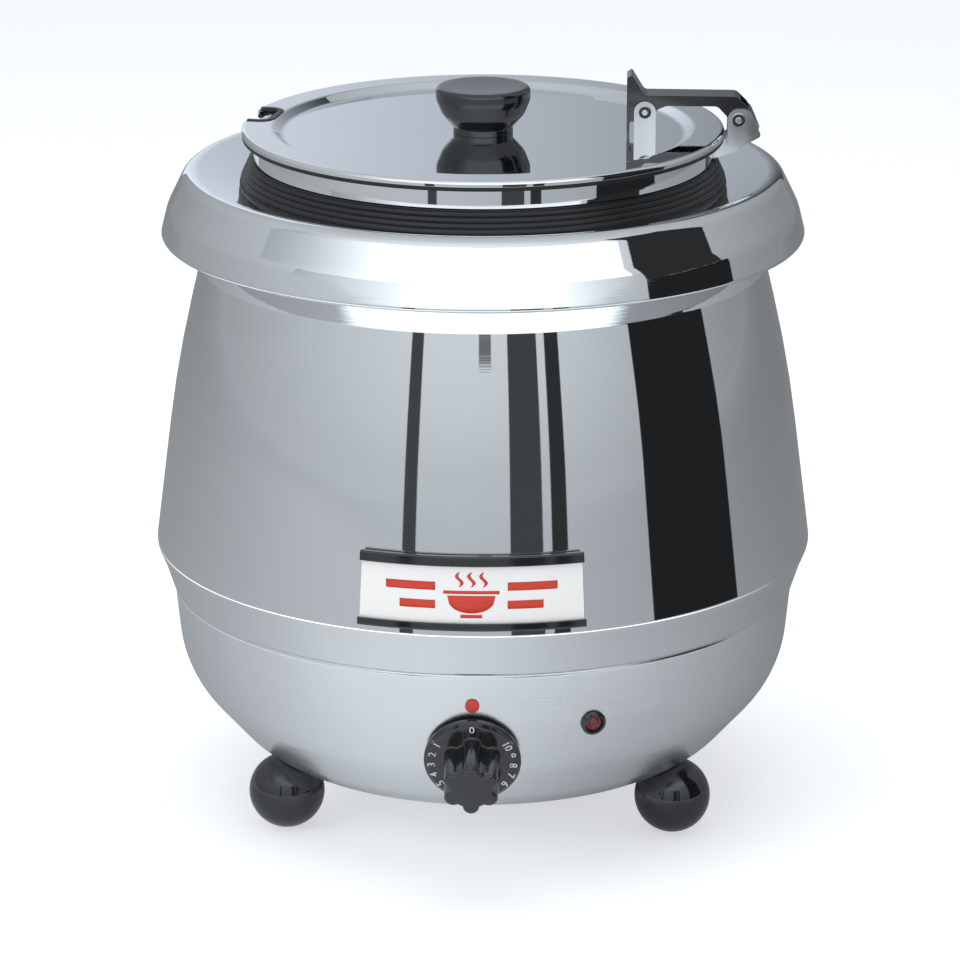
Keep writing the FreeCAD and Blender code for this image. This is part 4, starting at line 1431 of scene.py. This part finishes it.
def make_flags():
    """Dark flags and bright cards round the kettle, seen only as reflections in the steel."""
    stage = settings().stage
    for name, angles, heights, tones in FLAGS:
        mesh = flag_mesh(name, angles, heights)
        shade = stage.back_tint if name == "card_back" else stage.card_tint
        flag = stage_piece(name, mesh, flag_finish(name, mesh, tones, shade))
        flag.visible_camera = flag.visible_diffuse = flag.visible_shadow = False


def flag_finish(name, mesh, tones, shade):
    """Even or side-to-side graded glow."""
    finish = bpy.data.materials.new(name)
    tree = bare_tree(finish)
    where = node(tree, "ShaderNodeTexCoord").outputs["Object"]
    across = node(tree, "ShaderNodeSeparateXYZ", {"Vector": where}).outputs["X"]
    reach = [vertex.co.x for vertex in mesh.vertices]
    tone = graded(tree, across, min(reach), max(reach), *tones)
    node(tree, "ShaderNodeOutputMaterial", {"Surface": glow(tree, shade, tone)})
    return finish


def flag_mesh(name, angles, heights):
    """Upright strip bent round the kettle."""
    first, last = (FRONT + math.radians(side) for side in angles)
    shape = bmesh.new()
    steps = 12
    rows = []
    for step in range(steps + 1):
        around = first + (last - first) * step / steps
        rows.append([shape.verts.new(polar(settings().stage.flag_r, around, z)) for z in heights])
    skin(shape, rows, round_about=False)
    return from_bmesh(name, shape)


def aim(piece, way):
    """Points a lamp or camera along a direction."""
    piece.rotation_mode = "QUATERNION"
    piece.rotation_quaternion = way.to_track_quat("-Z", "Y")


def make_lamps():
    """A broad box overhead and one at the side. The cards stand for them in the steel."""
    for name, place, target, size, power in (
            ("softbox_top", (-0.09, -0.15, 1.8), (-0.09, -0.15, 0), (1.42, 1.7), 17),
            ("softbox_left", (-2.0, -1.6, 1.6), (0, 0, 0.2), (1.4, 1.4), 14)):
        lamp = linked(name, with_values(bpy.data.lights.new(name, "AREA"), {
            "shape": "RECTANGLE", "size": size[0], "size_y": size[1], "energy": power}))
        lamp.location = place
        lamp.visible_glossy = False
        aim(lamp, Vector(target) - Vector(place))


def studio_tone(tree):
    """Brightness of the studio round the kettle: paler upwards and in front, darker to the right."""
    where = node(tree, "ShaderNodeTexCoord").outputs["Generated"]
    parts = node(tree, "ShaderNodeSeparateXYZ", {"Vector": where}).outputs
    level = calc(tree, "ADD", along_way(tree, where, (-0.051, -0.166, 0)), 0.467)
    slope = graded(tree, parts["Y"], -1.0, 0.0, 0.896, 0.256)
    rise = calc(tree, "MULTIPLY", calc(tree, "MAXIMUM", parts["Z"], 0.0), slope)
    return calc(tree, "ADD", level, rise)


def make_world():
    """White to the camera, a graded studio to the steel and an even fill to everything else."""
    stage = settings().stage
    world = bpy.data.worlds.new("studio")
    bpy.context.scene.world = world
    tree = bare_tree(world)
    to_steel = seen_from(tree, "Is Glossy Ray")
    to_camera = seen_from(tree, "Is Camera Ray", "Is Transmission Ray")
    level = mixed(tree, "FLOAT", to_steel, stage.fill, studio_tone(tree))
    back = node(tree, "ShaderNodeBackground", {
        "Color": mixed(tree, "RGBA", to_steel, (*stage.fill_tint, 1), (*stage.studio_tint, 1)),
        "Strength": mixed(tree, "FLOAT", to_camera, level, 1.0),
    })
    node(tree, "ShaderNodeOutputWorld", {"Surface": back.outputs["Background"]})


def make_camera():
    stage = settings().stage
    data = with_values(bpy.data.cameras.new("camera"), {
        "lens": stage.focal, "sensor_width": 36.0, "shift_x": stage.shift[0], "shift_y": stage.shift[1]})
    camera = linked("camera", data)
    flat = math.cos(stage.camera_elevation)
    back = Vector((
        math.sin(stage.camera_azimuth) * flat,
        -math.cos(stage.camera_azimuth) * flat,
        math.sin(stage.camera_elevation)))
    camera.location = Vector((0, 0, stage.aim_z)) + back * stage.camera_distance
    aim(camera, -back)
    bpy.context.scene.camera = camera


STEPS = (
    KETTLE_OT_inner_works,
    KETTLE_OT_base_pan,
    KETTLE_OT_outer_body,
    KETTLE_OT_shoulder_collar,
    KETTLE_OT_seat_ring,
    KETTLE_OT_soup_pot,
    KETTLE_OT_ball_feet,
    KETTLE_OT_lid,
    KETTLE_OT_lid_shade_ring_and_edging,
    KETTLE_OT_lid_knob,
    KETTLE_OT_hinge_pins,
    KETTLE_OT_hinge_plates,
    KETTLE_OT_control_dial,
    KETTLE_OT_dial_numbers,
    KETTLE_OT_index_button,
    KETTLE_OT_pilot_lamp,
    KETTLE_OT_card_holder,
    KETTLE_OT_menu_card,
    KETTLE_OT_stage,
)


class KETTLE_PT_steps(bpy.types.Panel):
    """Lists the kettle's pieces"""
    bl_idname = "KETTLE_PT_steps"
    bl_label = "Soup kettle"
    bl_space_type = "VIEW_3D"
    bl_region_type = "UI"
    bl_category = "Kettle"

    def draw(self, context):
        for step in STEPS:
            self.layout.operator(step.bl_idname)


CLASSES = (
    KettleShells,
    KettleLid,
    KettleControls,
    KettleCard,
    KettleFinishes,
    KettleStage,
    KettleSettings,
    *STEPS,
    KETTLE_PT_steps,
)


def register():
    for kind in CLASSES:
        bpy.utils.register_class(kind)
    bpy.types.Scene.kettle = PointerProperty(type=KettleSettings)


def unregister():
    del bpy.types.Scene.kettle
    for kind in reversed(CLASSES):
        bpy.utils.unregister_class(kind)


def main():
    register()
    for step in STEPS:
        group, name = step.bl_idname.split(".")
        getattr(getattr(bpy.ops, group), name)()


if __name__ == "__main__":
    main()
